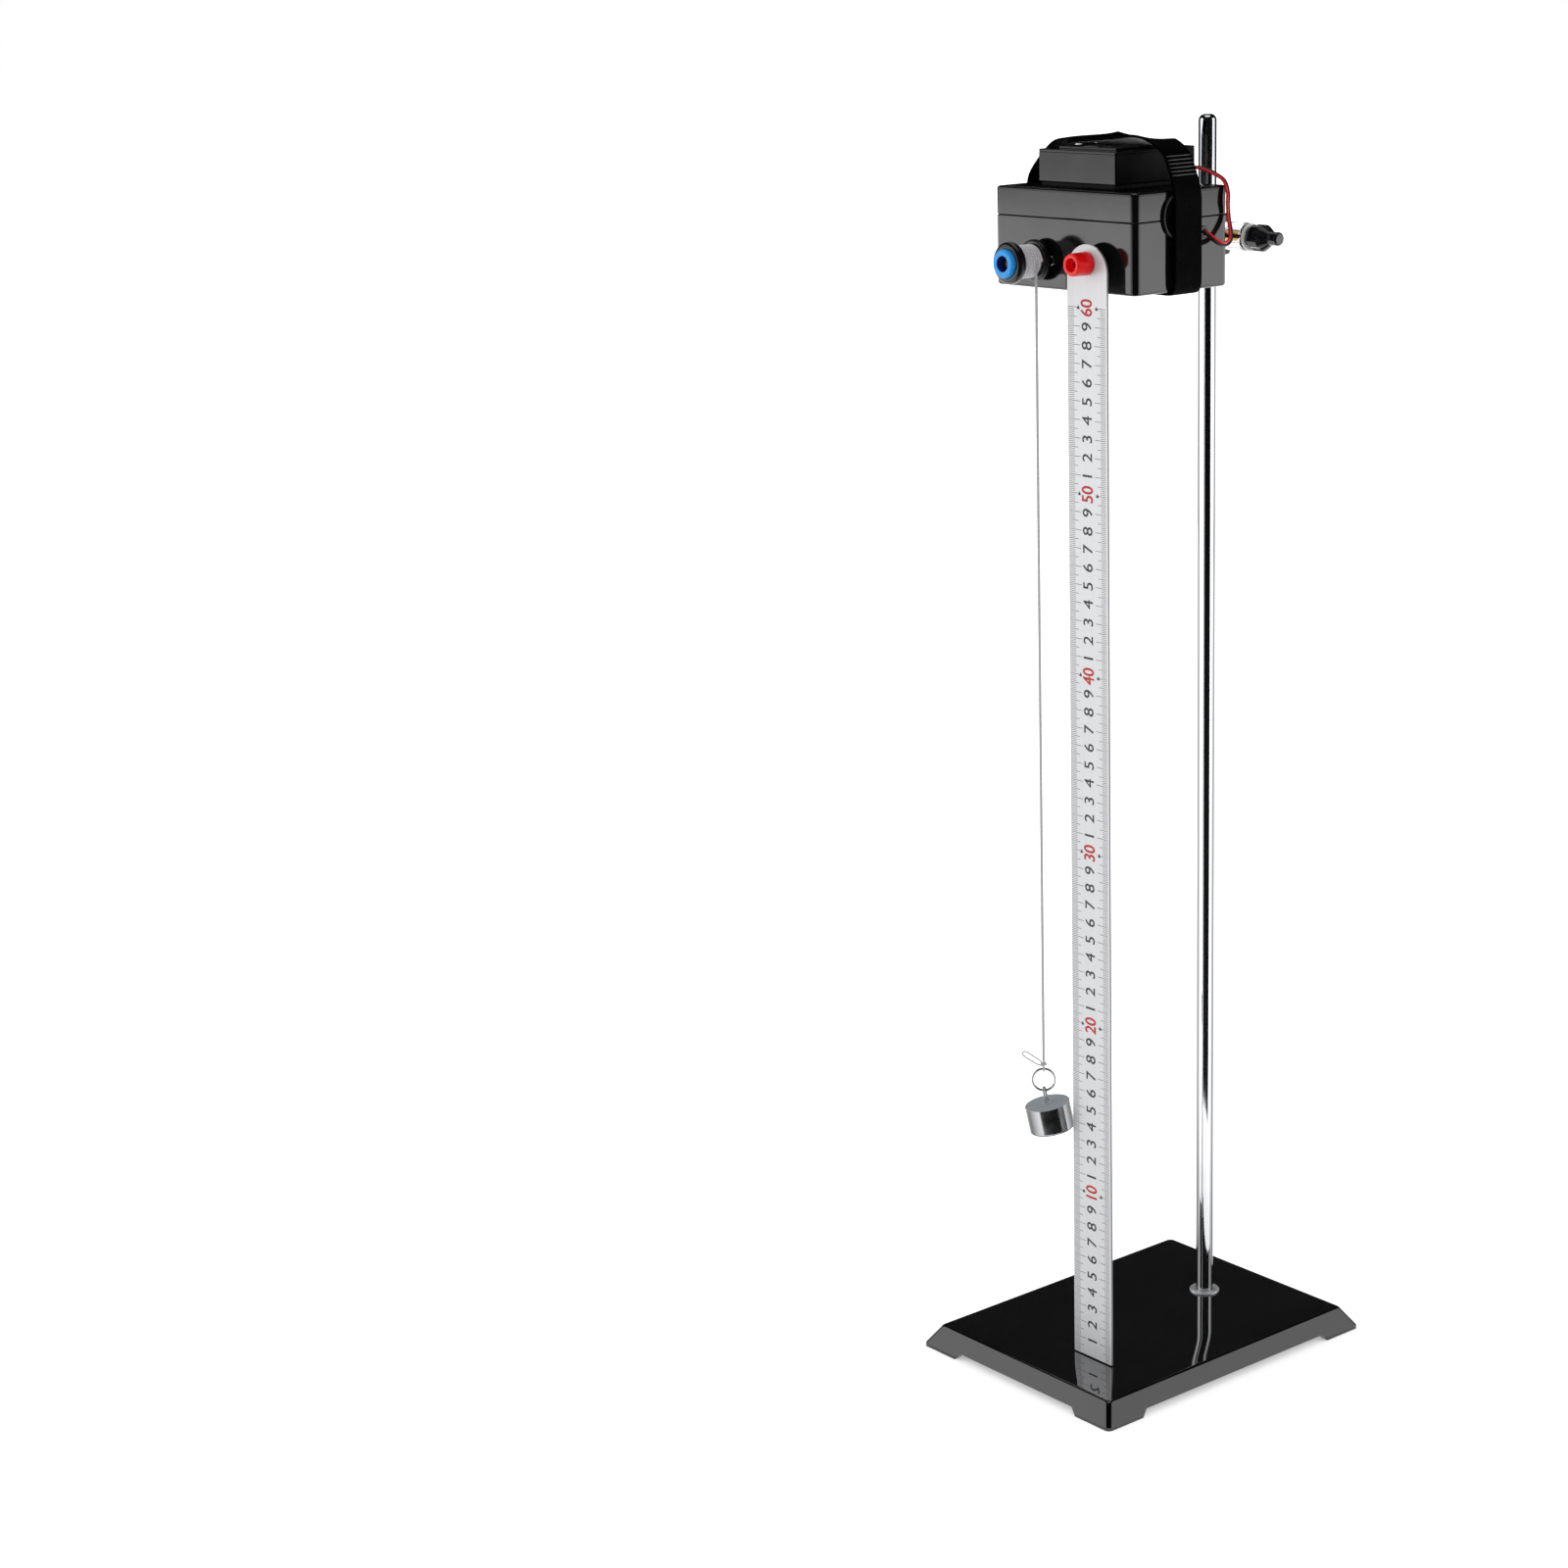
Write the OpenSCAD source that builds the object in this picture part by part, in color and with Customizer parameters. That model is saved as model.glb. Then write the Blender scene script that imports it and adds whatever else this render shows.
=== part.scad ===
// Linear motion apparatus for the classroom: a motor box clamped to a stand
// rod winds a string that lifts a weight beside a hanging 60 cm ruler.
// Millimetres. The origin is the centre of the base on the table, +Z is up,
// and the front, where spool and ruler hang, faces -Y.

/* [Base] */
// Width of the base at the table, left to right
base_w = 155; // [130:1:200]
// Depth of the base at the table, front to back
base_l = 206; // [190:1:260]
// Height of the base's top face
base_h = 14; // [12:0.5:20]
// How far the sloping skirt draws the top face in on each side
base_inset = 7.5; // [4:0.5:12]
// Height of the upright lip under the skirt
base_lip = 2; // [1:0.25:3]
// Wall of the cast base
base_wall = 4; // [3:0.25:6]
// Radius of the base's upright corners
base_corner = 3; // [1:0.5:6]
// Length of each corner foot along the base's sides
foot_len = 27; // [18:1:40]
// Height of the cut-outs between the feet
notch_h = 4; // [2:0.25:5]
// Run of the slanted ends of a cut-out
notch_run = 4; // [1:0.5:8]
// Diameter of the boss under the rod
boss_d = 28; // [22:1:40]

/* [Rod] */
// Diameter of the stand rod
rod_d = 10; // [8:0.5:12]
// How far the rod stands above the clamp's middle
rod_over = 65.7; // [60:0.1:120]
// Rounding of the rod's top end
rod_round = 3.5; // [1:0.25:3.75]
// How far behind the base's centre the rod stands
rod_y = 53; // [48:1:60]
// Diameter of the threaded stud that holds the rod in the base
stud_d = 7; // [5:0.5:7.5]
// Diameter of the collar round the rod's foot
collar_d = 17.5; // [15:0.5:24]
// Height of that collar
collar_h = 1.25; // [1:0.25:4]
// Width across the flats of the nut under the base
nut_af = 13; // [11:0.5:16]
// Thickness of that nut
nut_t = 3; // [2:0.25:3.5]
// Thickness of the washer above the nut
washer_t = 1.2; // [0.8:0.1:1.6]

/* [Rod clamp] */
// Distance from the rod's axis to the back of the box
clamp_reach = 40; // [30:1:44]
// Diameter of the clamp head round the rod
clamp_head_d = 25; // [21:0.5:28]
// Height of the clamp head
clamp_head_h = 22; // [18:1:30]
// Width and height of the arm between head and plate
clamp_arm = 15; // [10:0.5:18]
// Width of the clamp's plate on the box
clamp_plate_w = 40; // [32:1:60]
// Height of that plate
clamp_plate_h = 24; // [18:1:30]
// Thickness of that plate
clamp_plate_t = 5; // [3:0.5:8]
// Height of the clamp's centre above the box's floor
clamp_h = 21.5; // [18:0.5:24]
// Distance between the two screws of the plate
clamp_screw_gap = 28; // [24:1:30]
// Diameter of the clamp's thumb screw
thumb_d = 6; // [4:0.5:7]
// Diameter of the clear sleeve on the thumb screw
sleeve_d = 15.5; // [12:0.5:20]
// Length of that sleeve
sleeve_l = 17; // [10:0.5:22]
// Diameter of the thumb screw's white ring
band_d = 15; // [10:0.5:16]
// Diameter of the thumb screw's black knob
thumb_knob_d = 15; // [12:0.5:20]
// Length of that knob with its tip
thumb_knob_l = 20.5; // [18:0.5:30]
// Diameter of the knob's tip
thumb_tip_d = 7.5; // [7:0.25:9]
// Number of grip flutes round the knob
thumb_flutes = 5; // [3:1:7]

/* [Motor box] */
// Width of the box, left to right
box_w = 108; // [100:1:125]
// Depth of the box, front to back
box_d = 70; // [66:1:74]
// Height of the box below its lid
box_body_h = 38; // [34:0.5:44]
// Height of the lid
box_lid_h = 15.5; // [12:0.5:20]
// Wall of the box and lid
box_wall = 2.5; // [2:0.25:3]
// Radius of the box's upright corners
box_corner = 4; // [2:0.5:5]
// Chamfer along the box's lower and upper edges
box_edge = 1.2; // [0.5:0.1:2]
// Gap that shows as the seam under the lid
seam = 0.3; // [0.2:0.05:0.6]
// Diameter of the corner pillars that take the lid's screws
pillar_d = 8; // [7:0.5:9]
// Diameter of a lid screw
lid_screw_d = 3; // [2:0.25:3.5]
// Diameter of a lid screw's head
lid_head_d = 6; // [5:0.25:6.5]

/* [Motor] */
// Diameter of the gearbox and motor
motor_d = 24; // [20:0.5:25]
// Length of the gearbox
gearbox_l = 19; // [12:0.5:24]
// Length of the motor behind the gearbox
motor_l = 31; // [24:0.5:33]
// Diameter of the bush round the output shaft
bush_d = 11; // [9:0.25:11.5]
// How far the bush stands out of the box
bush_out = 1.6; // [1:0.1:2]
// Diameter of the output shaft
shaft_d = 6; // [4:0.25:6.5]
// Distance between the two motor screws
motor_screw_gap = 17; // [16.5:0.25:18]

/* [Receiver] */
// Width of the receiver board
board_w = 44; // [36:1:44]
// Length of the receiver board
board_l = 46; // [42:1:47]
// Thickness of the receiver board
board_t = 1.6; // [1:0.2:2]
// Height of the board's posts
post_h = 5; // [3:0.5:8]
// Length of a relay
relay_l = 19; // [15:0.5:20]
// Width of a relay
relay_w = 15.5; // [10:0.5:16]
// Height of a relay
relay_h = 15; // [10:0.5:18]

/* [Ruler] */
// Length of the ruler
ruler_l = 633.5; // [625:0.5:650]
// Width of the ruler
ruler_w = 30; // [24:0.5:34]
// Thickness of the ruler
ruler_t = 1.2; // [0.8:0.1:2]
// Distance of the ruler's middle to the right of the box's middle
ruler_x = 25; // [24:0.5:30]
// Distance from the ruler's top end to its hole
ruler_hole_inset = 10; // [8:0.5:14]
// Diameter of the ruler's hole
ruler_hole_d = 5.2; // [4.5:0.1:6]
// Gap between the ruler's back and the box
ruler_standoff = 5.7; // [4:0.1:8]
// Gap between the ruler's foot and the base
ruler_gap = 0.8; // [0.5:0.1:3]
// Height of the ruler's hole above the box's floor
ruler_pivot_h = 16.5; // [14:0.5:20]
// Diameter of the spacer behind the ruler
spacer_d = 9; // [8:0.25:12]
// Diameter of the stud that the knob turns on
post_d = 4; // [3:0.25:4]

/* [Ruler knob] */
// Diameter of the ruler's knob at its foot
knob_d = 12.8; // [10:0.2:16]
// Diameter of the knob at its front
knob_front_d = 12; // [10:0.2:15]
// Length of the knob
knob_l = 11.6; // [9.5:0.2:16]
// Diameter of the socket in the knob's front
socket_d = 7.4; // [5:0.2:8]
// Depth of that socket
socket_depth = 3.5; // [2:0.25:4]

/* [Spool] */
// Distance of the spool's axis to the left of the box's middle
spool_x = 17.3; // [16:0.1:22]
// Height of the spool's axis above the box's floor
spool_h = 15.4; // [15.2:0.1:18]
// Gap between the box and the spool
spool_gap = 2.6; // [2.2:0.1:4]
// Diameter of the spool's two flanges
flange_d = 22.6; // [21:0.2:26]
// Thickness of the rear flange
rear_flange_t = 4; // [3:0.25:6]
// Thickness of the front flange
front_flange_t = 5.4; // [4:0.2:7]
// Diameter of the core that carries the thread
core_d = 14.6; // [12:0.2:15]
// Length of the core between the flanges
core_l = 13.9; // [13:0.1:18]
// Diameter of the blue end cap
cap_d = 15.6; // [13:0.2:18]
// Bore of the blue end cap
cap_bore_d = 8.4; // [7:0.2:10]
// How far the blue end cap stands out of the flange
cap_out = 2.6; // [1:0.2:5]
// Depth of the cap's seat in the flange
cap_seat = 1.5; // [1:0.1:2]

/* [String] */
// Diameter of the string
string_d = 1.7; // [1.2:0.1:1.8]
// Clear gap between neighbouring turns on the spool
turn_gap = 0.5; // [0.45:0.05:1]
// Length from the spool's axis down to the weight's ring
hang_len = 462; // [380:1:500]
// How far in front of the box the string hangs
string_out = 11.5; // [11:0.1:13]

/* [Weight] */
// Diameter of the weight
weight_d = 26; // [20:0.5:27]
// Height of the weight
weight_h = 16; // [10:0.5:24]
// Rounding of the weight's edges
weight_round = 1; // [0.4:0.1:2]
// Lean of the weight on its ring, in degrees
weight_tilt = 11; // [0:1:15]
// Turn of ring and weight about the string, in degrees
weight_turn = 46; // [0:1:90]
// Outer diameter of the split ring
ring_d = 14.2; // [12:0.2:20]
// Wire of the split ring
ring_wire = 1.4; // [1:0.1:2]
// Wire of the weight's eye
eye_wire = 1.4; // [1:0.1:1.8]
// Height of the eye above the weight
eye_l = 9.2; // [8:0.2:14]

/* [Battery case] */
// Width of the battery case, left to right
case_w = 59.5; // [59.5:0.5:68]
// Depth of the battery case, front to back
case_d = 59.5; // [59.5:0.5:62]
// Height of the battery case with its cover
case_h = 17.5; // [17.5:0.25:22]
// Wall of the battery case
case_wall = 1.2; // [1:0.05:1.25]
// How far the case sits behind the box's middle
case_back = 5; // [2:0.5:6]
// Thickness of the pad under the case
pad_t = 2.5; // [1:0.25:4]
// Diameter of a battery cell
cell_d = 14; // [13.6:0.1:14.1]
// Length of a battery cell
cell_l = 50.5; // [48:0.1:51]
// Height of the raised panel on the cover
panel_t = 1.2; // [0.6:0.1:2]

/* [Strap] */
// Width of the strap
strap_w = 20; // [15:1:22]
// Thickness of the strap's webbing
strap_t = 1.6; // [1:0.1:2.4]
// Room between the strap and the box's right side, for the aerial wire
strap_room = 2.4; // [2.2:0.1:4]
// Height of the strap's arch above the battery case
strap_rise = 7.5; // [6:0.5:14]
// Distance of the strap's middle behind the box's front
strap_y = 36; // [34:0.5:38]

/* [Leads] */
// Diameter of one battery lead
lead_d = 1.5; // [1:0.1:1.6]
// Diameter of the grommet's flange
grommet_d = 6.6; // [6:0.2:8]
// Distance of the grommet behind the box's front
grommet_y = 50.5; // [50:0.5:52]
// Height of the grommet above the box's floor
grommet_h = 30; // [28:0.5:32]

/* [Fits] */
// Radial clearance of what turns or slides on a pin
run_gap = 0.05; // [0.02:0.01:0.1]
// Clearance of what is fixed in a hole or seat
fix_gap = 0.1; // [0.05:0.05:0.2]
// Gap between a turning piece's face and its neighbour
face_gap = 0.1; // [0.1:0.05:0.3]
// Gap between soft pieces and what they lie on
soft_gap = 0.25; // [0.1:0.05:0.4]

/* [Hidden] */
$fn = 64;

// Heights and depths that the sizes above add up to
pivot_z = base_h + ruler_gap + ruler_l - ruler_hole_inset;
head_z = pivot_z - ruler_pivot_h;
box_h = box_body_h + box_lid_h;
box_top = head_z + box_h;
box_rear = rod_y - clamp_reach;
box_front = box_rear - box_d;
box_mid = (box_front + box_rear) / 2;
clamp_z = head_z + clamp_h;
rod_len = clamp_z + rod_over - base_h;
spool_z = head_z + spool_h;
case_z = box_top + pad_t;
case_y = box_mid + case_back;
strap_mid = box_front + strap_y;

// Base: the underside of its plate, the boss and what hangs on the rod's stud
plate_z = base_h - base_wall;
boss_z = nut_t + washer_t + 1;
stud_end = 1;

// Box: pillars in the corners, and the tongue of the lid
pillar_bite = 0.6;
pillar_in = box_wall + pillar_d / 2 - pillar_bite;
tongue_t = 1.2;
tongue_h = 3;
lid_head_h = 2.2;
pan_t = 1.6;

// Cover and cells of the battery case
cover_t = 1.5;
panel_inset = 8;
thumb_grooves = 5;
groove_l = 12;
groove_w = 1.2;
cell_pitch = cell_d + 0.2;
cell_count = 4;
cell_nub_d = 5.5;
cell_nub_h = 1;
contact_t = 0.5;
contact_w = 9;
cell_z = case_z + case_wall + fix_gap + cell_d / 2;
function cell_y(i) = case_y + (i - (cell_count - 1) / 2) * cell_pitch;

// Spool: distances of its pieces from the box's front
rear_flange_out = spool_gap;
core_out = rear_flange_out + rear_flange_t;
front_flange_out = core_out + core_l;
flange_face_out = front_flange_out + front_flange_t;
shaft_in = box_wall + 7;

// Winding: pitch and radius of its turns, and the bend at each end
turn_pitch = string_d + turn_gap;
turn_r = core_d / 2 + fix_gap + string_d / 2;
turn_bend = string_d * 0.6;
turn_sides = 6;
turn_rings = 24;
turn_start = string_d + turn_bend;
turn_count = floor((core_l - 2 * turn_start) / turn_pitch * turn_rings) / turn_rings;
turn_end = turn_start + turn_count * turn_pitch;
turn_bend_angle = turn_bend / turn_r * 180 / PI;

// String: where it hangs, clear of the turns that pass its top end
string_x = -spool_x + turn_r;
string_y = box_front - string_out;
string_clear = 0.3;
string_drop = sqrt(pow(turn_r + string_d + string_clear, 2) - pow(turn_r, 2));
string_top = spool_z - string_drop;

// Weight: ring, loop of string, knot and eye, from the ring's centre
ring_z = spool_z - hang_len;
ring_r = (ring_d - ring_wire) / 2;
strand_d = 1.1;
loop_slack = 0.35;
loop_r = ring_wire / 2 + loop_slack + strand_d / 2;
loop_z = ring_z + ring_r;
knot_d = 3.4;
knot_z = loop_z + loop_r + knot_d / 2 - 0.4;
string_foot = knot_z + knot_d / 2 + face_gap;
eye_slack = 0.2;
eye_half = 1.9;
eye_turn = 15;
eye_stem_d = 3;
eye_stem_l = 6;
eye_top_z = ring_z - ring_r + ring_wire / 2 + eye_slack + eye_wire / 2;

// Thumb screw: distances of its pieces from the rod's axis
thumb_boss_d = 14;
thumb_boss_out = clamp_head_d / 2 + 0.5;
thumb_washer_t = 1.5;
thumb_washer_d = sleeve_d - 2;
thumb_washer_out = thumb_boss_out + 0.3;
sleeve_out = thumb_washer_out + thumb_washer_t + face_gap;
band_t = 1.6;
band_out = sleeve_out + sleeve_l + face_gap;
thumb_knob_out = band_out + band_t + face_gap;
thumb_stem_end = thumb_knob_out + thumb_knob_l * 0.6;
thumb_tip_gap = 0.3;
flute_d = 7;
flute_in = 0.9;

// Motor: flats along the can, its end cap and the tabs
motor_flat = 0.9;
motor_flat_in = 4;
end_cap_t = 3;
tab_gap = 12;
tab_w = 2.4;
tab_t = 0.5;

// Terminal block on the board
terminal_w = 8;
terminal_h = 9;
terminal_ways = 4;
terminal_pitch = 6;
terminal_hole_d = 3.6;

// Nut of the ruler's stud inside the box, and the knob's grip
post_nut_af = 7;
post_nut_t = 3;
knob_edge = 0.8;
grip_count = 6;
grip_d = 3;
grip_in = 0.4;

// Screws through the plates
plate_screw_d = 4;
plate_head_d = 7;
plate_head_h = 2.4;
motor_screw_d = 3;
motor_head_d = 5.4;
board_screw_d = 2.5;
board_head_d = 4.5;
board_hole_in = 4;
board_hole_x = board_w / 2 - board_hole_in;
board_hole_y = board_l / 2 - board_hole_in;
board_x = box_w / 2 - box_wall - 3 - board_w / 2;
board_z = head_z + box_wall + post_h;
relay_x = board_x + board_w / 2 - relay_l - 8;
relay_mid = relay_w / 2 + 0.75;

// Routes of the wires, as points from the box's middle, front and floor
box_side = box_w / 2;
aerial_d = lead_d;
aerial_x = box_side + aerial_d / 2 + 0.15;
aerial_z = grommet_h - 1.4;
lead_pitch = lead_d + 0.15;
lead_hole_d = 2 * lead_d + 2 * fix_gap + 0.4;
grommet_neck_d = grommet_d - 1.6;
exit_y = 63.5;
exit_z = box_h + pad_t + 6.5;
lead_route = [
    [case_w / 2 - case_wall + 0.05, exit_y, exit_z], [case_w / 2 + 4.25, exit_y, exit_z],
    [box_side - 13, exit_y + 0.7, exit_z - 0.6], [box_side - 6, exit_y + 2.3, exit_z - 3.2],
    [box_side, exit_y + 3.1, box_h + 2.4], [box_side + 2.6, exit_y + 3.3, box_h - 4],
    [box_side + 2.8, exit_y + 3.1, box_h - 9.5], [box_side + 2.5, exit_y + 3.9, grommet_h + 7.4],
    [box_side + 7.2, exit_y + 0.7, grommet_h - 3.9], [box_side + 8.4, grommet_y + 8.1, grommet_h - 6.6],
    [box_side + 7.4, grommet_y + 2.7, grommet_h - 4.7], [box_side + 4.7, grommet_y + 0.4, grommet_h - 1.6],
    [box_side + 1.6, grommet_y, grommet_h], [box_side - 2.4, grommet_y, grommet_h]];
aerial_route = [
    [box_side - 3.5, strap_y - 0.4, aerial_z], [box_side - 1.4, strap_y - 1.4, aerial_z],
    [box_side + 0.2, strap_y - 3.6, aerial_z + 0.1], [aerial_x, strap_y - 7, aerial_z + 0.3],
    [aerial_x, strap_y - 10.8, aerial_z + 1.6], [aerial_x, strap_y - 14.2, aerial_z + 5.4],
    [aerial_x, strap_y - 15.6, aerial_z + 10.9], [aerial_x, strap_y - 14.6, aerial_z + 16.2],
    [aerial_x, strap_y - 11.4, aerial_z + 20.4], [aerial_x, strap_y - 7.6, aerial_z + 22.2],
    [aerial_x, strap_y - 3, aerial_z + 22.4]];
aerial_hole_y = strap_y - 2.2;
aerial_hole_d = 3 * aerial_d + 2 * soft_gap;
tail_route = [
    [-0.4, 0, 0.4], [-2.6, -0.3, 2.6], [-6, -0.4, 5], [-9.8, -0.2, 7.4],
    [-11.6, 0, 7], [-11.3, 0.2, 5], [-7, 0.4, 1.9], [-3.2, 0.3, -0.4], [-0.4, 0, -1]];

// Strap: one length of webbing that starts under its own tail, runs over the arch, down the right,
// under the box, up the left and over itself, as points from the box's middle and floor
strap_off = soft_gap + strap_t / 2;
strap_right = box_w / 2 + strap_room + strap_t / 2;
strap_left = box_w / 2 + strap_off;
strap_peak = box_h + pad_t + case_h + strap_rise;
strap_shoulder = case_w / 2 + 3.5;
strap_lap = strap_t + 0.2;
strap_points = [
    [6 - case_w / 2, strap_peak - 4.6], [-case_w / 4, strap_peak - 3.6], [0, strap_peak - 2.4],
    [case_w / 4 - 1, strap_peak - 1.2], [case_w / 2 - 4, strap_peak], [strap_shoulder + 2.25, strap_peak - 1.6],
    [strap_right - 9.4, box_h + 19.1], [strap_right - 4, box_h + 9], [strap_right - 0.4, box_h - 2],
    [strap_right, box_h - 12], [strap_right, 22], [strap_right, 8], [strap_right - 0.5, 2.2],
    [box_side + 0.75, -0.4], [box_side - 1.6, -strap_off], [box_side - 9, -strap_off], [0, -strap_off],
    [9 - box_side, -strap_off], [1.6 - box_side, -strap_off], [-box_side - 0.6, -0.4],
    [-strap_left, 1.9], [-strap_left, 8], [-strap_left, 20],
    [-strap_left, box_h - 8], [-strap_left - 0.2, box_h + 0.5], [3 - strap_left, box_h + 7],
    [-strap_shoulder - 7, strap_peak - 8.8], [-strap_shoulder, strap_peak - 4.4],
    [6 - case_w / 2, strap_peak - 4.6 + strap_lap], [-case_w / 4, strap_peak - 3.6 + strap_lap],
    [0, strap_peak - 2.4 + strap_lap], [8, strap_peak - 1.6 + strap_lap], [15, strap_peak - 0.4 + strap_lap]];
strap_steps = 4;

// Points on a smooth curve through p: at each point it runs along the line between its neighbours
function unit(v) = v / norm(v);
function spline_at(a, b, c, d, t) =
    let (from = norm(c - b) * unit(c - a), to = norm(c - b) * unit(d - b))
    b + t * from + t * t * (3 * (c - b) - 2 * from - to) + t * t * t * (from + to - 2 * (c - b));
function open_spline(p, steps) = concat(
    [for (i = [0 : len(p) - 2]) for (k = [0 : steps - 1])
        spline_at(p[max(i - 1, 0)], p[i], p[i + 1], p[min(i + 2, len(p) - 1)], k / steps)],
    [p[len(p) - 1]]);
// Points moved sideways from a flat path by the distance side
function beside(p, side) = [for (i = [0 : len(p) - 1])
    let (along = unit(p[min(i + 1, len(p) - 1)] - p[max(i - 1, 0)]))
    p[i] + side * [along[1], -along[0]]];

// Directions along a path, and a side direction carried along it without twist
function headings(p) = [for (i = [0 : len(p) - 1])
    unit(p[min(i + 1, len(p) - 1)] - p[max(i - 1, 0)])];
function square_to(v, along) = unit(v - (v * along) * along);
function sides_along(t, start) =
    [for (i = 0, s = square_to(start, t[0]); i < len(t);
        i = i + 1, s = i < len(t) ? square_to(s, t[i]) : s) s];

// Tube of diameter d along the points p, with flat ends
module tube(p, d, sides, start = [0, 0, 1]) {
    t = headings(p);
    s = sides_along(t, start);
    rings = [for (i = [0 : len(p) - 1]) for (k = [0 : sides - 1])
        let (a = 360 * k / sides)
        p[i] + d / 2 * (cos(a) * s[i] + sin(a) * cross(t[i], s[i]))];
    last = len(p) - 1;
    walls = [for (i = [0 : last - 1]) for (k = [0 : sides - 1])
        let (a = i * sides + k, b = i * sides + (k + 1) % sides)
        each [[a, a + sides, b], [b, a + sides, b + sides]]];
    first_end = [for (k = [1 : sides - 2]) [0, k, k + 1]];
    last_end = [for (k = [1 : sides - 2]) [last * sides, last * sides + k + 1, last * sides + k]];
    polyhedron(points = rings, faces = concat(walls, first_end, last_end), convexity = 10);
}

// Rectangle with round corners, from its middle
module round_rect(w, d, r) {
    square([w - 2 * r, d], center = true);
    square([w, d - 2 * r], center = true);
    for (x = [-1, 1]) for (y = [-1, 1])
        translate([x * (w / 2 - r), y * (d / 2 - r)])
            circle(r);
}

// Turned disc or post of height h with its lower and upper edges rounded
module turned(d, h, low = 0, high = 0) {
    rotate_extrude() {
        translate([0, low]) square([d / 2, h - low - high]);
        if (low > 0) {
            square([d / 2 - low, low]);
            translate([d / 2 - low, low]) intersection() {
                circle(low);
                translate([0, -low]) square(low);
            }
        }
        if (high > 0) {
            translate([0, h - high]) square([d / 2 - high, high]);
            translate([d / 2 - high, h - high]) intersection() {
                circle(high);
                square(high);
            }
        }
    }
}

// Ring of round wire with outer diameter d
module wire_ring(d, wire) {
    rotate_extrude() translate([(d - wire) / 2, 0]) circle(wire / 2);
}

// Slotted or crossed pan-head screw: head up, shank down
module pan_screw(d, length, head_d, head_h) {
    difference() {
        union() {
            turned(head_d, head_h, 0, head_h * 0.45);
            translate([0, 0, -length]) cylinder(d = d, h = length);
        }
        for (a = [0, 90]) rotate([0, 0, a])
            translate([0, 0, head_h]) cube([head_d * 0.55, head_d * 0.14, head_h * 0.7], center = true);
    }
}

// Frames that the pieces sit in
module at_front(x, z, out = 0) {
    translate([x, box_front - out, z]) rotate([90, 0, 0]) children();
}
module at_spool(out = 0) {
    at_front(-spool_x, spool_z, out) children();
}
module at_pivot(out = 0) {
    at_front(ruler_x, pivot_z, out) children();
}
module at_thumb(out = 0) {
    translate([out, rod_y, clamp_z]) rotate([0, 90, 0]) children();
}
module at_ring() {
    translate([string_x, string_y, ring_z]) rotate([0, 0, weight_turn]) rotate([90, 0, 0]) children();
}
module at_weight() {
    translate([string_x, string_y, eye_top_z]) rotate([0, 0, weight_turn])
        rotate([0, -weight_tilt, 0]) children();
}
module at_lid_corners() {
    for (x = [-1, 1]) for (y = [-1, 1])
        translate([x * (box_w / 2 - pillar_in), box_mid + y * (box_d / 2 - pillar_in), 0]) children();
}
module at_board_corners() {
    for (x = [-1, 1]) for (y = [-1, 1])
        translate([board_x + x * board_hole_x, box_mid + y * board_hole_y, 0]) children();
}

// Outline p, in width and height, carried through the whole depth or the whole width
module along_depth(p) {
    rotate([90, 0, 0]) linear_extrude(base_w + base_l, center = true) polygon(p);
}
module along_width(p) {
    rotate([90, 0, 90]) linear_extrude(base_w + base_l, center = true) polygon(p);
}

// Block of the base: an upright lip, then a skirt that slopes in to the top
function skirt(w, top) = [
    [-w / 2, 0], [w / 2, 0], [w / 2, base_lip],
    [w / 2 - base_inset, top], [base_inset - w / 2, top], [-w / 2, base_lip]];
module base_block(shrink, top) {
    intersection() {
        linear_extrude(top) round_rect(base_w - 2 * shrink, base_l - 2 * shrink, base_corner);
        along_depth(skirt(base_w - 2 * shrink, top));
        along_width(skirt(base_l - 2 * shrink, top));
    }
}

// Cut-out between two feet along a side of the given length
function foot_notch(length) =
    let (run = length / 2 - foot_len)
    [[-run, -1], [run, -1], [run, 0], [run - notch_run, notch_h], [notch_run - run, notch_h], [-run, 0]];

module base_plate() {
    color("#1c1c1e") difference() {
        union() {
            difference() {
                base_block(0, base_h);
                translate([0, 0, -1]) base_block(base_wall, plate_z + 1);
            }
            translate([0, rod_y, boss_z]) cylinder(d = boss_d, h = base_h - boss_z - 1);
            for (x = [-1, 1])
                translate([x * base_w / 4 - base_wall / 2, base_wall - base_l / 2 + base_inset, boss_z])
                    cube([base_wall, base_l - 2 * (base_inset + base_wall), base_h - boss_z - 1]);
        }
        along_depth(foot_notch(base_w));
        along_width(foot_notch(base_l));
        translate([0, rod_y, -1]) cylinder(d = stud_d + 2 * fix_gap, h = base_h + 2);
    }
}

module stand_rod() {
    color("#d9dadc") translate([0, rod_y, 0]) {
        translate([0, 0, base_h]) turned(rod_d, rod_len, 0, rod_round);
        translate([0, 0, stud_end]) cylinder(d = stud_d, h = base_h - stud_end + 1);
    }
}

module rod_collar() {
    color("#cfd0d2") translate([0, rod_y, base_h]) difference() {
        turned(collar_d, collar_h, 0, collar_h * 0.5);
        translate([0, 0, -1]) cylinder(d = rod_d + 2 * fix_gap, h = collar_h + 2);
    }
}

module base_washer() {
    color("#b5b7ba") translate([0, rod_y, boss_z - washer_t]) difference() {
        cylinder(d = nut_af + 4, h = washer_t);
        translate([0, 0, -1]) cylinder(d = stud_d + 2 * fix_gap, h = washer_t + 2);
    }
}

module base_nut() {
    color("#b5b7ba") translate([0, rod_y, boss_z - washer_t - nut_t]) difference() {
        cylinder(d = nut_af / cos(30), h = nut_t, $fn = 6);
        translate([0, 0, -1]) cylinder(d = stud_d + 2 * fix_gap, h = nut_t + 2);
    }
}

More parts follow.
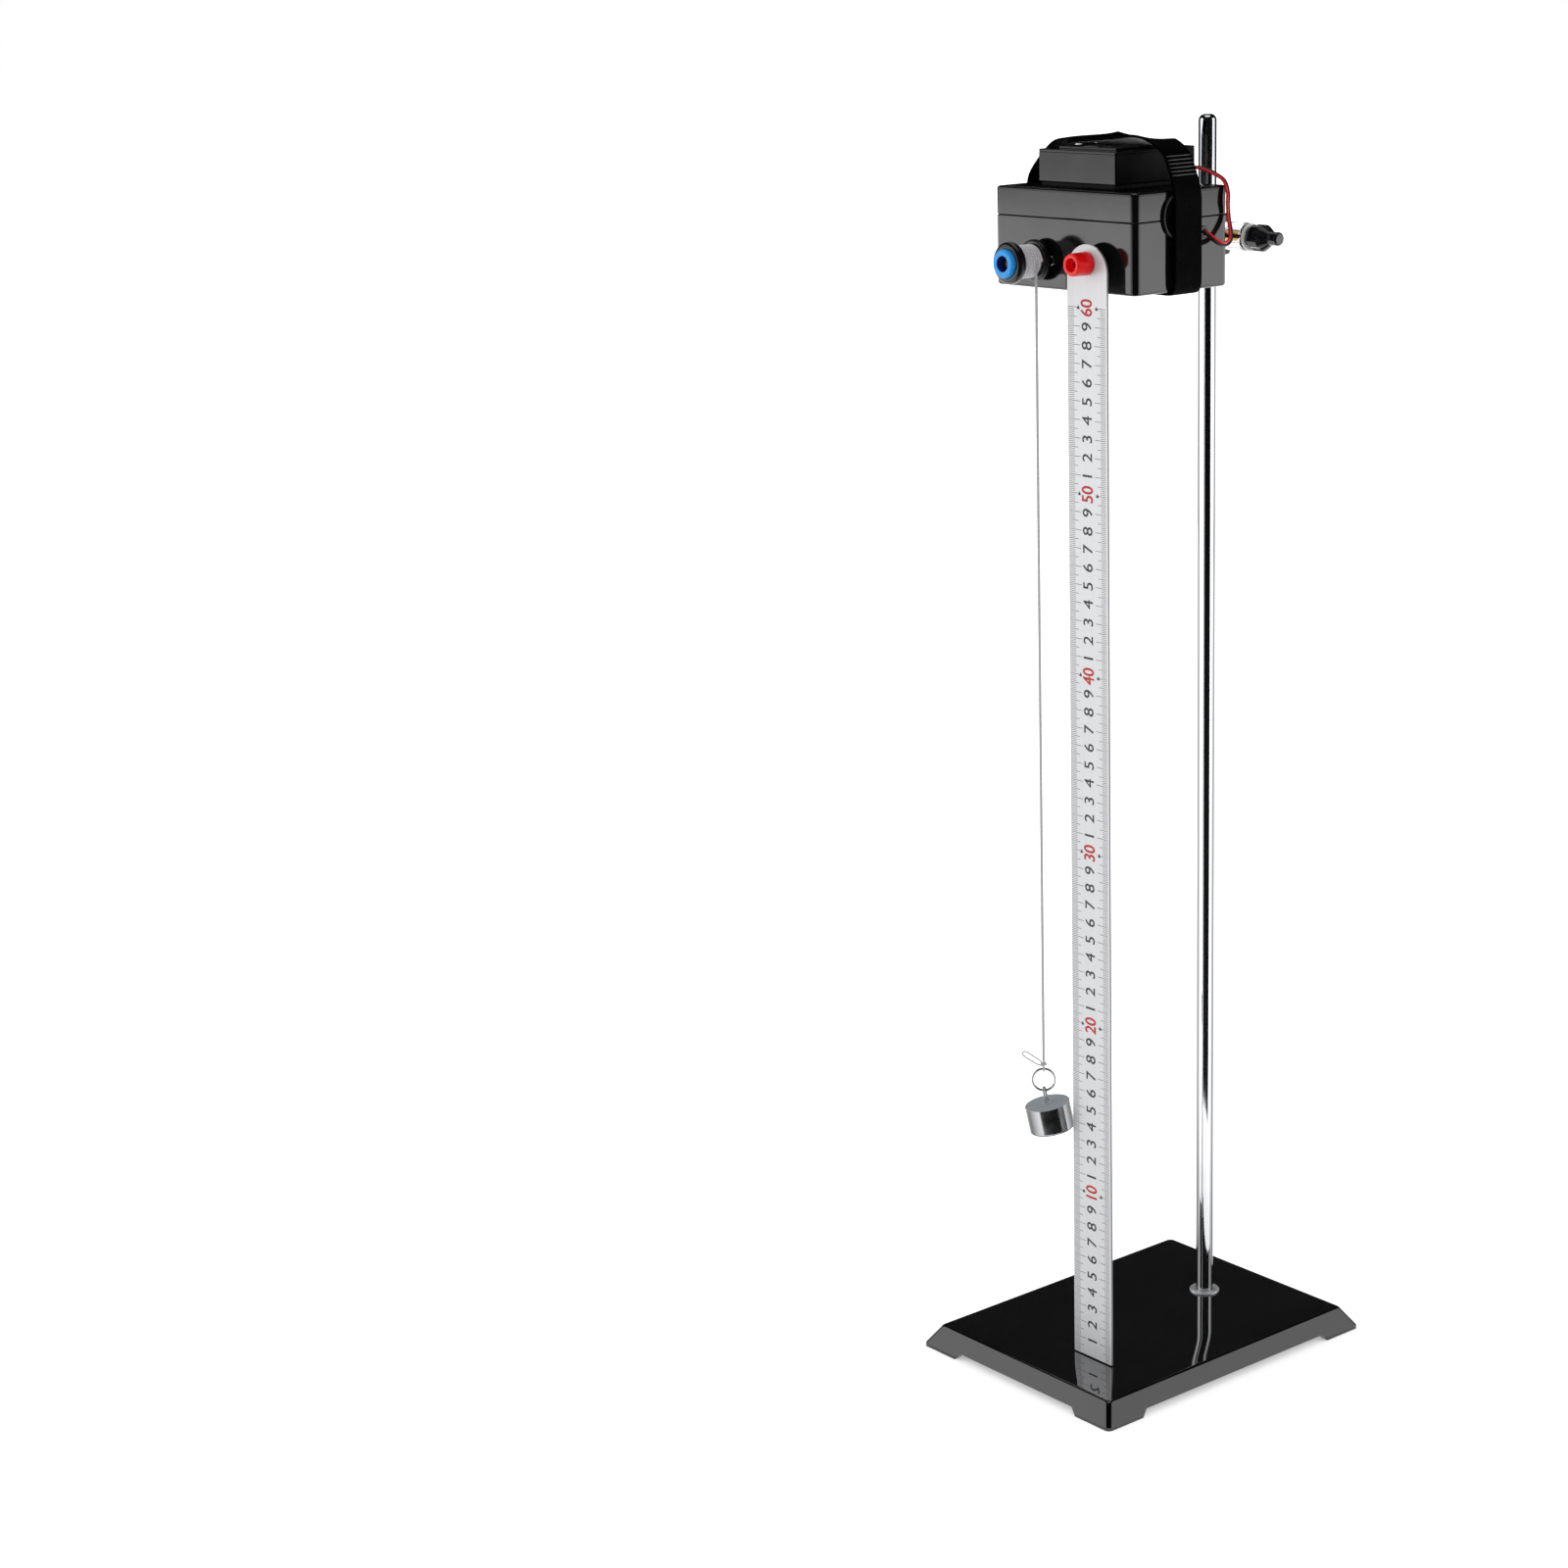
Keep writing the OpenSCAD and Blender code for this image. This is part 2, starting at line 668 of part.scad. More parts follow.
// Outer form of the box or its lid, with the edges at z = 0 chamfered
function chamfered(w, h) = [
    [box_edge - w / 2, 0], [w / 2 - box_edge, 0], [w / 2, box_edge],
    [w / 2, h], [-w / 2, h], [-w / 2, box_edge]];
module box_shell(h) {
    intersection() {
        linear_extrude(h) round_rect(box_w, box_d, box_corner);
        along_depth(chamfered(box_w, h));
        along_width(chamfered(box_d, h));
    }
}
module box_inside(h) {
    linear_extrude(h)
        round_rect(box_w - 2 * box_wall, box_d - 2 * box_wall, max(box_corner - box_wall, 0.5));
}

module box_body() {
    color("#2a2a2c") difference() {
        union() {
            translate([0, box_mid, head_z]) difference() {
                box_shell(box_body_h);
                translate([0, 0, box_wall]) box_inside(box_body_h);
            }
            translate([0, 0, head_z + box_wall / 2]) at_lid_corners()
                cylinder(d = pillar_d, h = box_body_h - box_wall / 2);
            translate([0, 0, head_z + box_wall / 2]) at_board_corners()
                cylinder(d = board_head_d + 1.5, h = post_h + box_wall / 2);
        }
        translate([0, 0, head_z + box_wall]) at_lid_corners()
            cylinder(d = lid_screw_d + 2 * fix_gap, h = box_body_h);
        translate([0, 0, head_z + box_wall]) at_board_corners()
            cylinder(d = board_screw_d + 2 * fix_gap, h = post_h + 1);
        at_spool(-box_wall - 1) cylinder(d = bush_d + 2 * fix_gap, h = box_wall + 2);
        for (x = [-1, 1])
            at_spool(-box_wall - 1) translate([x * motor_screw_gap / 2, 0, 0])
                cylinder(d = motor_screw_d + 2 * fix_gap, h = box_wall + 2);
        at_pivot(-box_wall - 1) cylinder(d = post_d + 2 * fix_gap, h = box_wall + 2);
        for (x = [-1, 1])
            translate([x * clamp_screw_gap / 2, box_rear - box_wall - 1, clamp_z]) rotate([-90, 0, 0])
                cylinder(d = plate_screw_d + 2 * fix_gap, h = box_wall + 2);
        translate([box_w / 2 - box_wall - 1, box_front + grommet_y, head_z + grommet_h]) rotate([0, 90, 0])
            cylinder(d = grommet_neck_d + 2 * fix_gap, h = box_wall + 2);
        translate([box_w / 2 - box_wall - 1, box_front + aerial_hole_y, head_z + aerial_z])
            rotate([0, 90, 0]) cylinder(d = aerial_hole_d, h = box_wall + 2);
    }
}

module box_lid() {
    lid_bottom = head_z + box_body_h + seam;
    skirt_h = box_lid_h - seam;
    color("#2a2a2c") difference() {
        union() {
            difference() {
                translate([0, box_mid, box_top]) mirror([0, 0, 1]) box_shell(skirt_h);
                translate([0, box_mid, lid_bottom - 1]) box_inside(skirt_h - box_wall + 1);
            }
            translate([0, box_mid, lid_bottom - tongue_h - seam]) difference() {
                linear_extrude(tongue_h + seam + 1)
                    round_rect(box_w - 2 * (box_wall + fix_gap), box_d - 2 * (box_wall + fix_gap),
                        max(box_corner - box_wall - fix_gap, 0.4));
                translate([0, 0, -1]) linear_extrude(tongue_h + seam + 3)
                    round_rect(box_w - 2 * (box_wall + tongue_t), box_d - 2 * (box_wall + tongue_t), 0.4);
                for (x = [-1, 1]) for (y = [-1, 1])
                    translate([x * (box_w / 2 - pillar_in), y * (box_d / 2 - pillar_in), -1])
                        cylinder(d = pillar_d + 2 * soft_gap, h = tongue_h + seam + 1);
            }
            translate([0, 0, head_z + box_body_h]) at_lid_corners()
                cylinder(d = pillar_d, h = box_lid_h - box_wall / 2);
        }
        translate([0, 0, head_z + box_body_h - 1]) at_lid_corners()
            cylinder(d = lid_screw_d + 2 * fix_gap, h = box_lid_h + 2);
        translate([0, 0, box_top - lid_head_h - 0.3]) at_lid_corners()
            cylinder(d = lid_head_d + 2 * fix_gap, h = lid_head_h + 1);
    }
}

module lid_screws() {
    color("#9da0a4") translate([0, 0, box_top - lid_head_h - 0.3]) at_lid_corners()
        pan_screw(lid_screw_d, box_lid_h + 8, lid_head_d, lid_head_h);
}

module clamp_block() {
    color("#303033") difference() {
        union() {
            translate([0, rod_y, clamp_z - clamp_head_h / 2]) turned(clamp_head_d, clamp_head_h, 1, 1);
            translate([-clamp_arm / 2, box_rear + clamp_plate_t / 2, clamp_z - clamp_arm / 2])
                cube([clamp_arm, clamp_reach - clamp_plate_t / 2, clamp_arm]);
            translate([0, box_rear, clamp_z]) rotate([-90, 0, 0]) linear_extrude(clamp_plate_t)
                round_rect(clamp_plate_w, clamp_plate_h, 3);
            at_thumb() cylinder(d = thumb_boss_d, h = thumb_boss_out);
        }
        translate([0, rod_y, clamp_z - clamp_head_h]) cylinder(d = rod_d + 2 * run_gap, h = 2 * clamp_head_h);
        at_thumb() cylinder(d = thumb_d + 2 * run_gap, h = thumb_boss_out + 1);
        for (x = [-1, 1])
            translate([x * clamp_screw_gap / 2, box_rear - 1, clamp_z]) rotate([-90, 0, 0])
                cylinder(d = plate_screw_d + 2 * fix_gap, h = clamp_plate_t + 2);
    }
}

module clamp_screws() {
    color("#9da0a4") for (x = [-1, 1])
        translate([x * clamp_screw_gap / 2, box_rear - box_wall, clamp_z]) rotate([90, 0, 0])
            pan_screw(plate_screw_d, box_wall + clamp_plate_t - 0.5, plate_head_d, plate_head_h);
}

module gearbox() {
    color("#c9a64e") at_spool(-box_wall - gearbox_l) difference() {
        turned(motor_d, gearbox_l, 0.6, 0.6);
        translate([0, 0, gearbox_l - shaft_in + box_wall - 1]) cylinder(d = shaft_d + 1, h = shaft_in);
        for (x = [-1, 1])
            translate([x * motor_screw_gap / 2, 0, gearbox_l - 6])
                cylinder(d = motor_screw_d + 2 * fix_gap, h = 7);
    }
}

module motor_can() {
    color("#b9bcc0") at_spool(-box_wall - gearbox_l - motor_l) difference() {
        turned(motor_d, motor_l, 1.5, 0.4);
        for (y = [-1, 1]) translate([0, y * (motor_d - motor_flat), motor_l / 2])
            cube([2 * motor_d, motor_d, motor_l - 2 * motor_flat_in], center = true);
    }
}

module motor_end_cap() {
    color("#e8e4d8") at_spool(-box_wall - gearbox_l - motor_l - end_cap_t) union() {
        turned(motor_d - 5, end_cap_t, 0.5, 0);
        for (x = [-1, 1]) translate([x * tab_gap / 2, 0, -end_cap_t / 2])
            cube([tab_w, tab_t, end_cap_t + 1], center = true);
    }
}

module motor_screws() {
    color("#9da0a4") for (x = [-1, 1])
        at_spool() translate([x * motor_screw_gap / 2, 0, 0])
            pan_screw(motor_screw_d, box_wall + 5, motor_head_d, pan_t);
}

module shaft_bush() {
    color("#b98d3a") at_spool(-box_wall) difference() {
        turned(bush_d, box_wall + bush_out, 0, 0.4);
        translate([0, 0, -1]) cylinder(d = shaft_d + 2 * run_gap, h = box_wall + bush_out + 2);
    }
}

module receiver_board() {
    color("#2f6b3c") difference() {
        translate([board_x - board_w / 2, box_mid - board_l / 2, board_z]) cube([board_w, board_l, board_t]);
        translate([0, 0, board_z - 1]) at_board_corners()
            cylinder(d = board_screw_d + 2 * fix_gap, h = board_t + 2);
    }
}

module relays() {
    color("#2457a8") for (y = [-1, 1])
        translate([relay_x, box_mid + y * relay_mid - relay_w / 2, board_z + board_t])
            cube([relay_l, relay_w, relay_h]);
}

module terminal_block() {
    terminal_l = terminal_ways * terminal_pitch;
    color("#3f8f4c") translate([board_x - board_w / 2 + 1, box_mid - terminal_l / 2, board_z + board_t])
        difference() {
            cube([terminal_w, terminal_l, terminal_h]);
            for (i = [0 : terminal_ways - 1])
                translate([terminal_w / 2, (i + 0.5) * terminal_pitch, terminal_h / 2])
                    cylinder(d = terminal_hole_d, h = terminal_h);
        }
}

module board_screws() {
    color("#9da0a4") translate([0, 0, board_z + board_t]) at_board_corners()
        pan_screw(board_screw_d, board_t + post_h - 1, board_head_d, pan_t);
}

module battery_pad() {
    color("#141414") translate([0, case_y, box_top]) linear_extrude(pad_t)
        round_rect(case_w - 1.5, case_d - 1.5, 2);
}

module battery_case() {
    tray_h = case_h - cover_t;
    color("#2c2c2e") translate([0, case_y, case_z]) difference() {
        linear_extrude(tray_h) round_rect(case_w, case_d, 1);
        translate([0, 0, case_wall]) linear_extrude(tray_h)
            round_rect(case_w - 2 * case_wall, case_d - 2 * case_wall, 0.6);
        translate([case_w / 2 - case_wall - 1, box_front + exit_y - case_y, head_z + exit_z - case_z])
            rotate([0, 90, 0]) cylinder(d = lead_hole_d, h = case_wall + 2);
    }
}

module battery_cover() {
    color("#262628") translate([0, case_y, case_z + case_h - cover_t]) difference() {
        union() {
            linear_extrude(cover_t) round_rect(case_w, case_d, 1);
            translate([0, 0, cover_t]) linear_extrude(panel_t)
                round_rect(case_w - 2 * panel_inset, case_d - 2 * panel_inset, 1);
        }
        for (i = [0 : thumb_grooves - 1])
            translate([0, panel_inset - case_d / 2 + 3 + 2 * groove_w * i, cover_t + panel_t])
                cube([groove_l, groove_w, groove_w], center = true);
    }
}

module battery_cells() {
    color("#b8872f") for (i = [0 : cell_count - 1])
        translate([0, cell_y(i), cell_z])
            rotate([0, i % 2 == 0 ? 90 : -90, 0]) translate([0, 0, -cell_l / 2]) {
                turned(cell_d, cell_l - cell_nub_h, 0.5, 0.8);
                translate([0, 0, cell_l - cell_nub_h - 0.5]) cylinder(d = cell_nub_d, h = cell_nub_h + 0.5);
            }
}

module battery_contacts() {
    end_x = case_w / 2 - case_wall - fix_gap - contact_t;
    reach = end_x - cell_l / 2 - fix_gap;
    color("#c8cacc") for (i = [0 : cell_count - 1]) for (x = [-1, 1])
        translate([x * (end_x + contact_t / 2), cell_y(i), cell_z]) rotate([0, -90 * x, 0]) {
            cube([contact_w, contact_w, contact_t], center = true);
            cylinder(d1 = contact_w - 1, d2 = cell_nub_d - 0.5, h = reach + contact_t / 2);
        }
}

module strap() {
    path = open_spline(strap_points, strap_steps);
    inner = beside(path, strap_t / 2);
    outer = beside(path, -strap_t / 2);
    color("#101011") translate([0, strap_mid + strap_w / 2, head_z]) rotate([90, 0, 0])
        linear_extrude(strap_w) polygon(concat(inner, [for (i = [len(outer) - 1 : -1 : 0]) outer[i]]));
}

module lead_grommet() {
    color("#111112") translate([box_w / 2 - box_wall, box_front + grommet_y, head_z + grommet_h])
        rotate([0, 90, 0]) difference() {
            union() {
                cylinder(d = grommet_neck_d, h = box_wall + 0.4);
                translate([0, 0, box_wall]) turned(grommet_d, 1, 0, 0.4);
            }
            translate([0, 0, -1]) cylinder(d = lead_hole_d, h = box_wall + 3);
        }
}

// One lead of the pair, beside the route by half the pair's pitch
module lead(side) {
    path = open_spline(lead_route, 2);
    along = headings(path);
    spread = [for (i = [0 : len(path) - 1])
        let (across = unit(cross(along[i], [1, 0.02, 0.3])) + [0.2, 0, 0])
        path[i] + side * lead_pitch / 2 * across + [0, box_front, head_z]];
    tube(spread, lead_d, 8);
}
module lead_red() {
    color("#b5121b") lead(1);
}
module lead_black() {
    color("#151515") lead(-1);
}

module aerial_wire() {
    path = [for (p = open_spline(aerial_route, 2)) [p[0], p[1] + box_front, p[2] + head_z]];
    color("#151515") tube(path, aerial_d, 8);
}

module ruler_post() {
    shoulder = ruler_t + 2 * face_gap;
    color("#b9bcc0") at_pivot() {
        cylinder(d = spacer_d, h = ruler_standoff - face_gap);
        cylinder(d = ruler_hole_d - 2 * run_gap, h = ruler_standoff - face_gap + shoulder);
        cylinder(d = post_d, h = ruler_standoff + shoulder + knob_l - socket_depth - 2);
        translate([0, 0, -box_wall - 5]) cylinder(d = post_d, h = box_wall + 6);
    }
}

module post_nut() {
    color("#9da0a4") at_pivot(-box_wall - post_nut_t) difference() {
        cylinder(d = post_nut_af / cos(30), h = post_nut_t, $fn = 6);
        translate([0, 0, -1]) cylinder(d = post_d + 2 * fix_gap, h = post_nut_t + 2);
    }
}

module ruler_blade() {
    top_r = ruler_w / 2;
    color("#d5d7d9") at_pivot(ruler_standoff) difference() {
        linear_extrude(ruler_t) union() {
            translate([0, ruler_hole_inset - top_r]) circle(top_r);
            translate([-ruler_w / 2, ruler_hole_inset - ruler_l]) square([ruler_w, ruler_l - top_r]);
        }
        translate([0, 0, -1]) cylinder(d = ruler_hole_d, h = ruler_t + 2);
    }
}

module ruler_knob() {
    bore_l = knob_l - socket_depth;
    color("#d0101a") at_pivot(ruler_standoff + ruler_t + 2 * face_gap) difference() {
        rotate_extrude() polygon([
            [0, 0], [knob_d / 2 - knob_edge, 0], [knob_d / 2, knob_edge],
            [knob_front_d / 2, knob_l - knob_edge], [knob_front_d / 2 - knob_edge, knob_l], [0, knob_l]]);
        translate([0, 0, bore_l]) cylinder(d1 = socket_d - 1, d2 = socket_d, h = socket_depth + 0.1);
        translate([0, 0, -1]) cylinder(d = post_d + 2 * run_gap, h = bore_l + 1.2);
        for (i = [0 : grip_count - 1]) rotate([0, 0, 360 / grip_count * i])
            translate([knob_d / 2 + grip_d / 2 - grip_in, 0, 2.5]) cylinder(d = grip_d, h = knob_l);
    }
}

module thumb_stem() {
    color("#c39a45") at_thumb(rod_d / 2 + thumb_tip_gap)
        turned(thumb_d, thumb_stem_end - rod_d / 2 - thumb_tip_gap, 0.6, 0.6);
}

module thumb_washer() {
    color("#232325") at_thumb(thumb_washer_out) difference() {
        turned(thumb_washer_d, thumb_washer_t, 0.3, 0.3);
        translate([0, 0, -1]) cylinder(d = thumb_d + 2 * fix_gap, h = thumb_washer_t + 2);
    }
}

module thumb_sleeve() {
    color("#e6ecee", 0.5) at_thumb(sleeve_out) difference() {
        turned(sleeve_d, sleeve_l, 1.2, 2);
        translate([0, 0, -1]) cylinder(d = thumb_d + 2 * fix_gap, h = sleeve_l + 2);
    }
}

module thumb_band() {
    color("#f2f2f0") at_thumb(band_out) difference() {
        turned(band_d, band_t, 0.4, 0.4);
        translate([0, 0, -1]) cylinder(d = thumb_d + 2 * fix_gap, h = band_t + 2);
    }
}

module thumb_knob() {
    foot_d = thumb_knob_d - 2.6;
    foot_l = 3;
    grip_l = thumb_knob_l * 0.45;
    neck_l = thumb_knob_l * 0.72;
    color("#171718") at_thumb(thumb_knob_out) difference() {
        rotate_extrude() polygon([
            [0, 0], [foot_d / 2, 0], [thumb_knob_d / 2, foot_l], [thumb_knob_d / 2, grip_l],
            [thumb_tip_d / 2, neck_l], [thumb_tip_d / 2, thumb_knob_l - knob_edge],
            [thumb_tip_d / 2 - knob_edge, thumb_knob_l], [0, thumb_knob_l]]);
        translate([0, 0, -1]) cylinder(d = thumb_d + 2 * fix_gap, h = thumb_knob_l * 0.6 + 1.5);
        for (i = [0 : thumb_flutes - 1]) rotate([0, 0, 360 / thumb_flutes * (i + 0.5)])
            translate([(thumb_knob_d + flute_d) / 2 - flute_in, 0, -1])
                cylinder(d = flute_d, h = thumb_knob_l + 2);
    }
}

module spool_shaft() {
    length = shaft_in + flange_face_out - cap_seat - 0.5;
    color("#b9bcc0") at_spool(-shaft_in) turned(shaft_d, length, 0.4, 0.4);
}

module spool_rear_flange() {
    color("#1b1b1d") at_spool(rear_flange_out) difference() {
        turned(flange_d, rear_flange_t, rear_flange_t * 0.4, rear_flange_t * 0.4);
        translate([0, 0, -1]) cylinder(d = shaft_d + 2 * fix_gap, h = rear_flange_t + 2);
    }
}

module spool_core() {
    color("#e9e9ec") at_spool(core_out) difference() {
        cylinder(d = core_d, h = core_l);
        translate([0, 0, -1]) cylinder(d = shaft_d + 2 * fix_gap, h = core_l + 2);
    }
}

module spool_front_flange() {
    color("#1b1b1d") at_spool(front_flange_out) difference() {
        turned(flange_d, front_flange_t, front_flange_t * 0.35, front_flange_t * 0.5);
        translate([0, 0, -1]) cylinder(d = shaft_d + 2 * fix_gap, h = front_flange_t + 2);
        translate([0, 0, front_flange_t - cap_seat]) cylinder(d = cap_d + 2 * fix_gap, h = cap_seat + 1);
    }
}

module spool_cap() {
    color("#3fb2e6") at_spool(flange_face_out - cap_seat) difference() {
        turned(cap_d, cap_seat + cap_out, 0, 1);
        translate([0, 0, -1]) cylinder(d = cap_bore_d, h = cap_seat + cap_out + 2);
    }
}

// Path of the winding in the spool's frame: straight out of the rear flange, round in a
// short bend, along the turns, and by the same bend into the front flange
function on_turn(angle, along) = [turn_r * cos(angle), turn_r * sin(angle), along];
function winding_path() = concat(
    [on_turn(0, face_gap)],
    [for (a = [0, 45, 90]) on_turn(turn_bend_angle * (1 - cos(a)), string_d + turn_bend * sin(a))],
    [for (i = [1 : turn_count * turn_rings])
        on_turn(360 * i / turn_rings + turn_bend_angle, turn_start + i / turn_rings * turn_pitch)],
    [for (a = [30, 60, 90])
        on_turn(360 * turn_count + turn_bend_angle * (1 + sin(a)), turn_end + turn_bend * (1 - cos(a)))],
    [on_turn(360 * turn_count + 2 * turn_bend_angle, core_l - face_gap)]);

// Least gap of the winding to itself: its nearest points half a turn or more apart along
// it, less the string's thickness
function least_gap(path, apart) = min([for (i = [0 : len(path) - 1 - apart])
    for (j = [i + apart : len(path) - 1]) norm(path[j] - path[i])]) - string_d;

module thread_winding() {
    path = winding_path();
    echo(winding_least_gap = least_gap(path, turn_rings / 2));
    color("#f1f1f4") at_spool(core_out) tube(path, string_d, turn_sides, [1, 0, 0]);
}

module hang_string() {
    color("#e8e8ea") translate([string_x, string_y, string_foot])
        cylinder(d = string_d, h = string_top - string_foot, $fn = 16);
}

module string_knot() {
    color("#efeff1") {
        translate([string_x, string_y, loop_z]) rotate([0, 0, weight_turn]) rotate([0, 90, 0])
            wire_ring(2 * loop_r + strand_d, strand_d, $fn = 32);
        translate([string_x, string_y, knot_z]) sphere(d = knot_d, $fn = 32);
        translate([string_x, string_y, knot_z]) rotate([0, 0, weight_turn])
            tube(open_spline(tail_route, 2), strand_d, 8);
    }
}

module split_ring() {
    color("#b4b6b9") at_ring() wire_ring(ring_d, ring_wire);
}

module weight_eye() {
    color("#c4c6c9") at_weight() rotate([0, 0, 90 - eye_turn]) translate([0, 0, -eye_half]) {
        rotate([90, 0, 0]) rotate_extrude(angle = 180) translate([eye_half, 0]) circle(eye_wire / 2);
        for (x = [-1, 1]) translate([x * eye_half, 0, eye_half - eye_l])
            cylinder(d = eye_wire, h = eye_l - eye_half);
        translate([0, 0, eye_half - eye_l]) turned(2 * eye_half + eye_wire + 1.2, 1.4, 0, 0.5);
        translate([0, 0, eye_half - eye_l - eye_stem_l]) cylinder(d = eye_stem_d, h = eye_stem_l + 0.5);
    }
}

module weight_body() {
    color("#c9cbce") at_weight() translate([0, 0, -eye_l - weight_h]) difference() {
        turned(weight_d, weight_h, weight_round, weight_round * 0.6);
        translate([0, 0, weight_h - eye_stem_l - 1])
            cylinder(d = eye_stem_d + 2 * fix_gap, h = eye_stem_l + 2);
    }
}

base_plate();
stand_rod();
rod_collar();
base_washer();
base_nut();
box_body();
box_lid();
lid_screws();
clamp_block();
clamp_screws();
gearbox();
motor_can();
motor_end_cap();
motor_screws();
shaft_bush();
receiver_board();
relays();
terminal_block();
board_screws();
battery_pad();
battery_case();
battery_cover();
battery_cells();
battery_contacts();
strap();
lead_grommet();
lead_red();
lead_black();
aerial_wire();
ruler_post();
post_nut();
ruler_blade();
ruler_knob();
thumb_stem();
thumb_washer();
thumb_sleeve();
thumb_band();
thumb_knob();
spool_shaft();
spool_rear_flange();
spool_core();
spool_front_flange();
spool_cap();
thread_winding();
hang_string();
string_knot();
split_ring();
weight_eye();
weight_body();
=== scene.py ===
"""Looks of the linear motion apparatus.

A chromed rod on a black base carries a motor box. Its spool winds a string that
lifts a ringed weight beside a hanging graduated ruler. Lengths in the classes are
millimetres in the frame of the CAD model: origin under the middle of the base, +Z
up, the front facing -Y.
"""

import logging
import math
from collections.abc import Callable, Sequence
from dataclasses import dataclass
from enum import Enum

import bmesh
import bpy
import numpy as np
from bpy.types import Material, Mesh, NodeOutputs, NodeSocket, NodeTree, Object, Scene
from mathutils import Matrix, Vector, geometry
from numpy.typing import NDArray


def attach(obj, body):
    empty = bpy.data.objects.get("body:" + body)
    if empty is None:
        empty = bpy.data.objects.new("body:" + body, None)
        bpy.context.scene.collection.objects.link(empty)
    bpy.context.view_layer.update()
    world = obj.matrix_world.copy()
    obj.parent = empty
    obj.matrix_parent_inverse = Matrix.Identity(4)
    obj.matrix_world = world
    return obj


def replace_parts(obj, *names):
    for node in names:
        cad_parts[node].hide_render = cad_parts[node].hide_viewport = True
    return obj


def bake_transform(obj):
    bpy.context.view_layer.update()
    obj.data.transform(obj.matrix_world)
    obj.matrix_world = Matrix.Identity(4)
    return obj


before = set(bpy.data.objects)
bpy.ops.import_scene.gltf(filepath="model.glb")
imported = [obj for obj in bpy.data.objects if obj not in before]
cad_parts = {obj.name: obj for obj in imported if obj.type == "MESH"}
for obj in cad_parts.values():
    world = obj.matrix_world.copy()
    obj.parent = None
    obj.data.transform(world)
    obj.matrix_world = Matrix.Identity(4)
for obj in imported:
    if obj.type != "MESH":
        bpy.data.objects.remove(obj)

Array = NDArray[np.float64]
IntArray = NDArray[np.int64]
Pair = tuple[float, float]
Point = tuple[float, float, float]
Twist = tuple[int, float, float]
Grip = Callable[[Array, Array], Array]

LOG = logging.getLogger("apparatus")
MM = 0.001

# Places and sizes that several pieces share
ROD_Y = 53.0
BOX_FLOOR = 621.8
BOX_FRONT = -57.0
SPOOL_Z = 637.2
STRING_D = 1.7
PANEL_T = 1.2
# Clear gap round a pin or a seat
GAP = 0.1


class Facing(Enum):
    """Turns of a piece made along +Z, as the columns that its own axes become."""

    UP = ((1, 0, 0), (0, 1, 0), (0, 0, 1))
    FRONT = ((1, 0, 0), (0, 0, 1), (0, -1, 0))
    RIGHT = ((0, 0, -1), (0, 1, 0), (1, 0, 0))


class Pattern(Enum):
    """Where a finish takes its pattern from."""

    OBJECT = "Object"
    SURFACE = "UV"


def linear(hex_color: str) -> tuple[float, float, float, float]:
    """Linear colour of an sRGB hex value.

    Args:
        hex_color: colour as "#rrggbb".

    Returns:
        Red, green, blue and an alpha of 1.
    """
    srgb = np.array([int(hex_color[i : i + 2], 16) for i in (1, 3, 5)]) / 255
    value = np.where(srgb <= 0.04045, srgb / 12.92, ((srgb + 0.055) / 1.055) ** 2.4)
    return (*map(float, value), 1.0)


def add_node(tree: NodeTree, kind: str, inputs: dict | None = None, **settings: object) -> NodeOutputs:
    """Add a shader node with its settings, input values and links.

    Args:
        tree: node tree that gets the node.
        kind: Blender's name of the node, without its prefix.
        inputs: value or output socket for each input, by the input's name or number.
        settings: attributes of the node.

    Returns:
        The new node's outputs.
    """
    node = tree.nodes.new("ShaderNode" + kind)
    for key, value in settings.items():
        setattr(node, key, value)
    for key, value in (inputs or {}).items():
        if isinstance(value, NodeSocket):
            tree.links.new(value, node.inputs[key])
        else:
            node.inputs[key].default_value = value
    return node.outputs


def unit(vectors: Array) -> Array:
    """Vectors of length one along the last axis."""
    return vectors / np.maximum(np.linalg.norm(vectors, axis=-1, keepdims=True), 1e-12)


def distance(path: Array) -> Array:
    """Distance of each point from the path's start, along the path."""
    return np.concatenate([[0], np.cumsum(np.linalg.norm(np.diff(path, axis=0), axis=1))])


def spline(points: Sequence[Sequence[float]], steps: int) -> Array:
    """Smooth curve through points: a cubic per span, which at each point runs along its neighbours' line.

    Args:
        points: points that the curve passes through.
        steps: pieces of each span.

    Returns:
        Points along the curve, the last one included.
    """
    p = np.asarray(points, float)
    before, after = np.concatenate([p[:1], p[:-2]]), np.concatenate([p[2:], p[-1:]])
    b, c = p[:-1], p[1:]
    span = np.linalg.norm(c - b, axis=1, keepdims=True)
    out, into = span * unit(c - before), span * unit(after - b)
    t = (np.arange(steps) / steps)[None, :, None]
    b, c, out, into = b[:, None], c[:, None], out[:, None], into[:, None]
    curve = b + t * out + t**2 * (3 * (c - b) - 2 * out - into) + t**3 * (out + into - 2 * (c - b))
    return np.concatenate([curve.reshape(-1, p.shape[1]), p[-1:]])


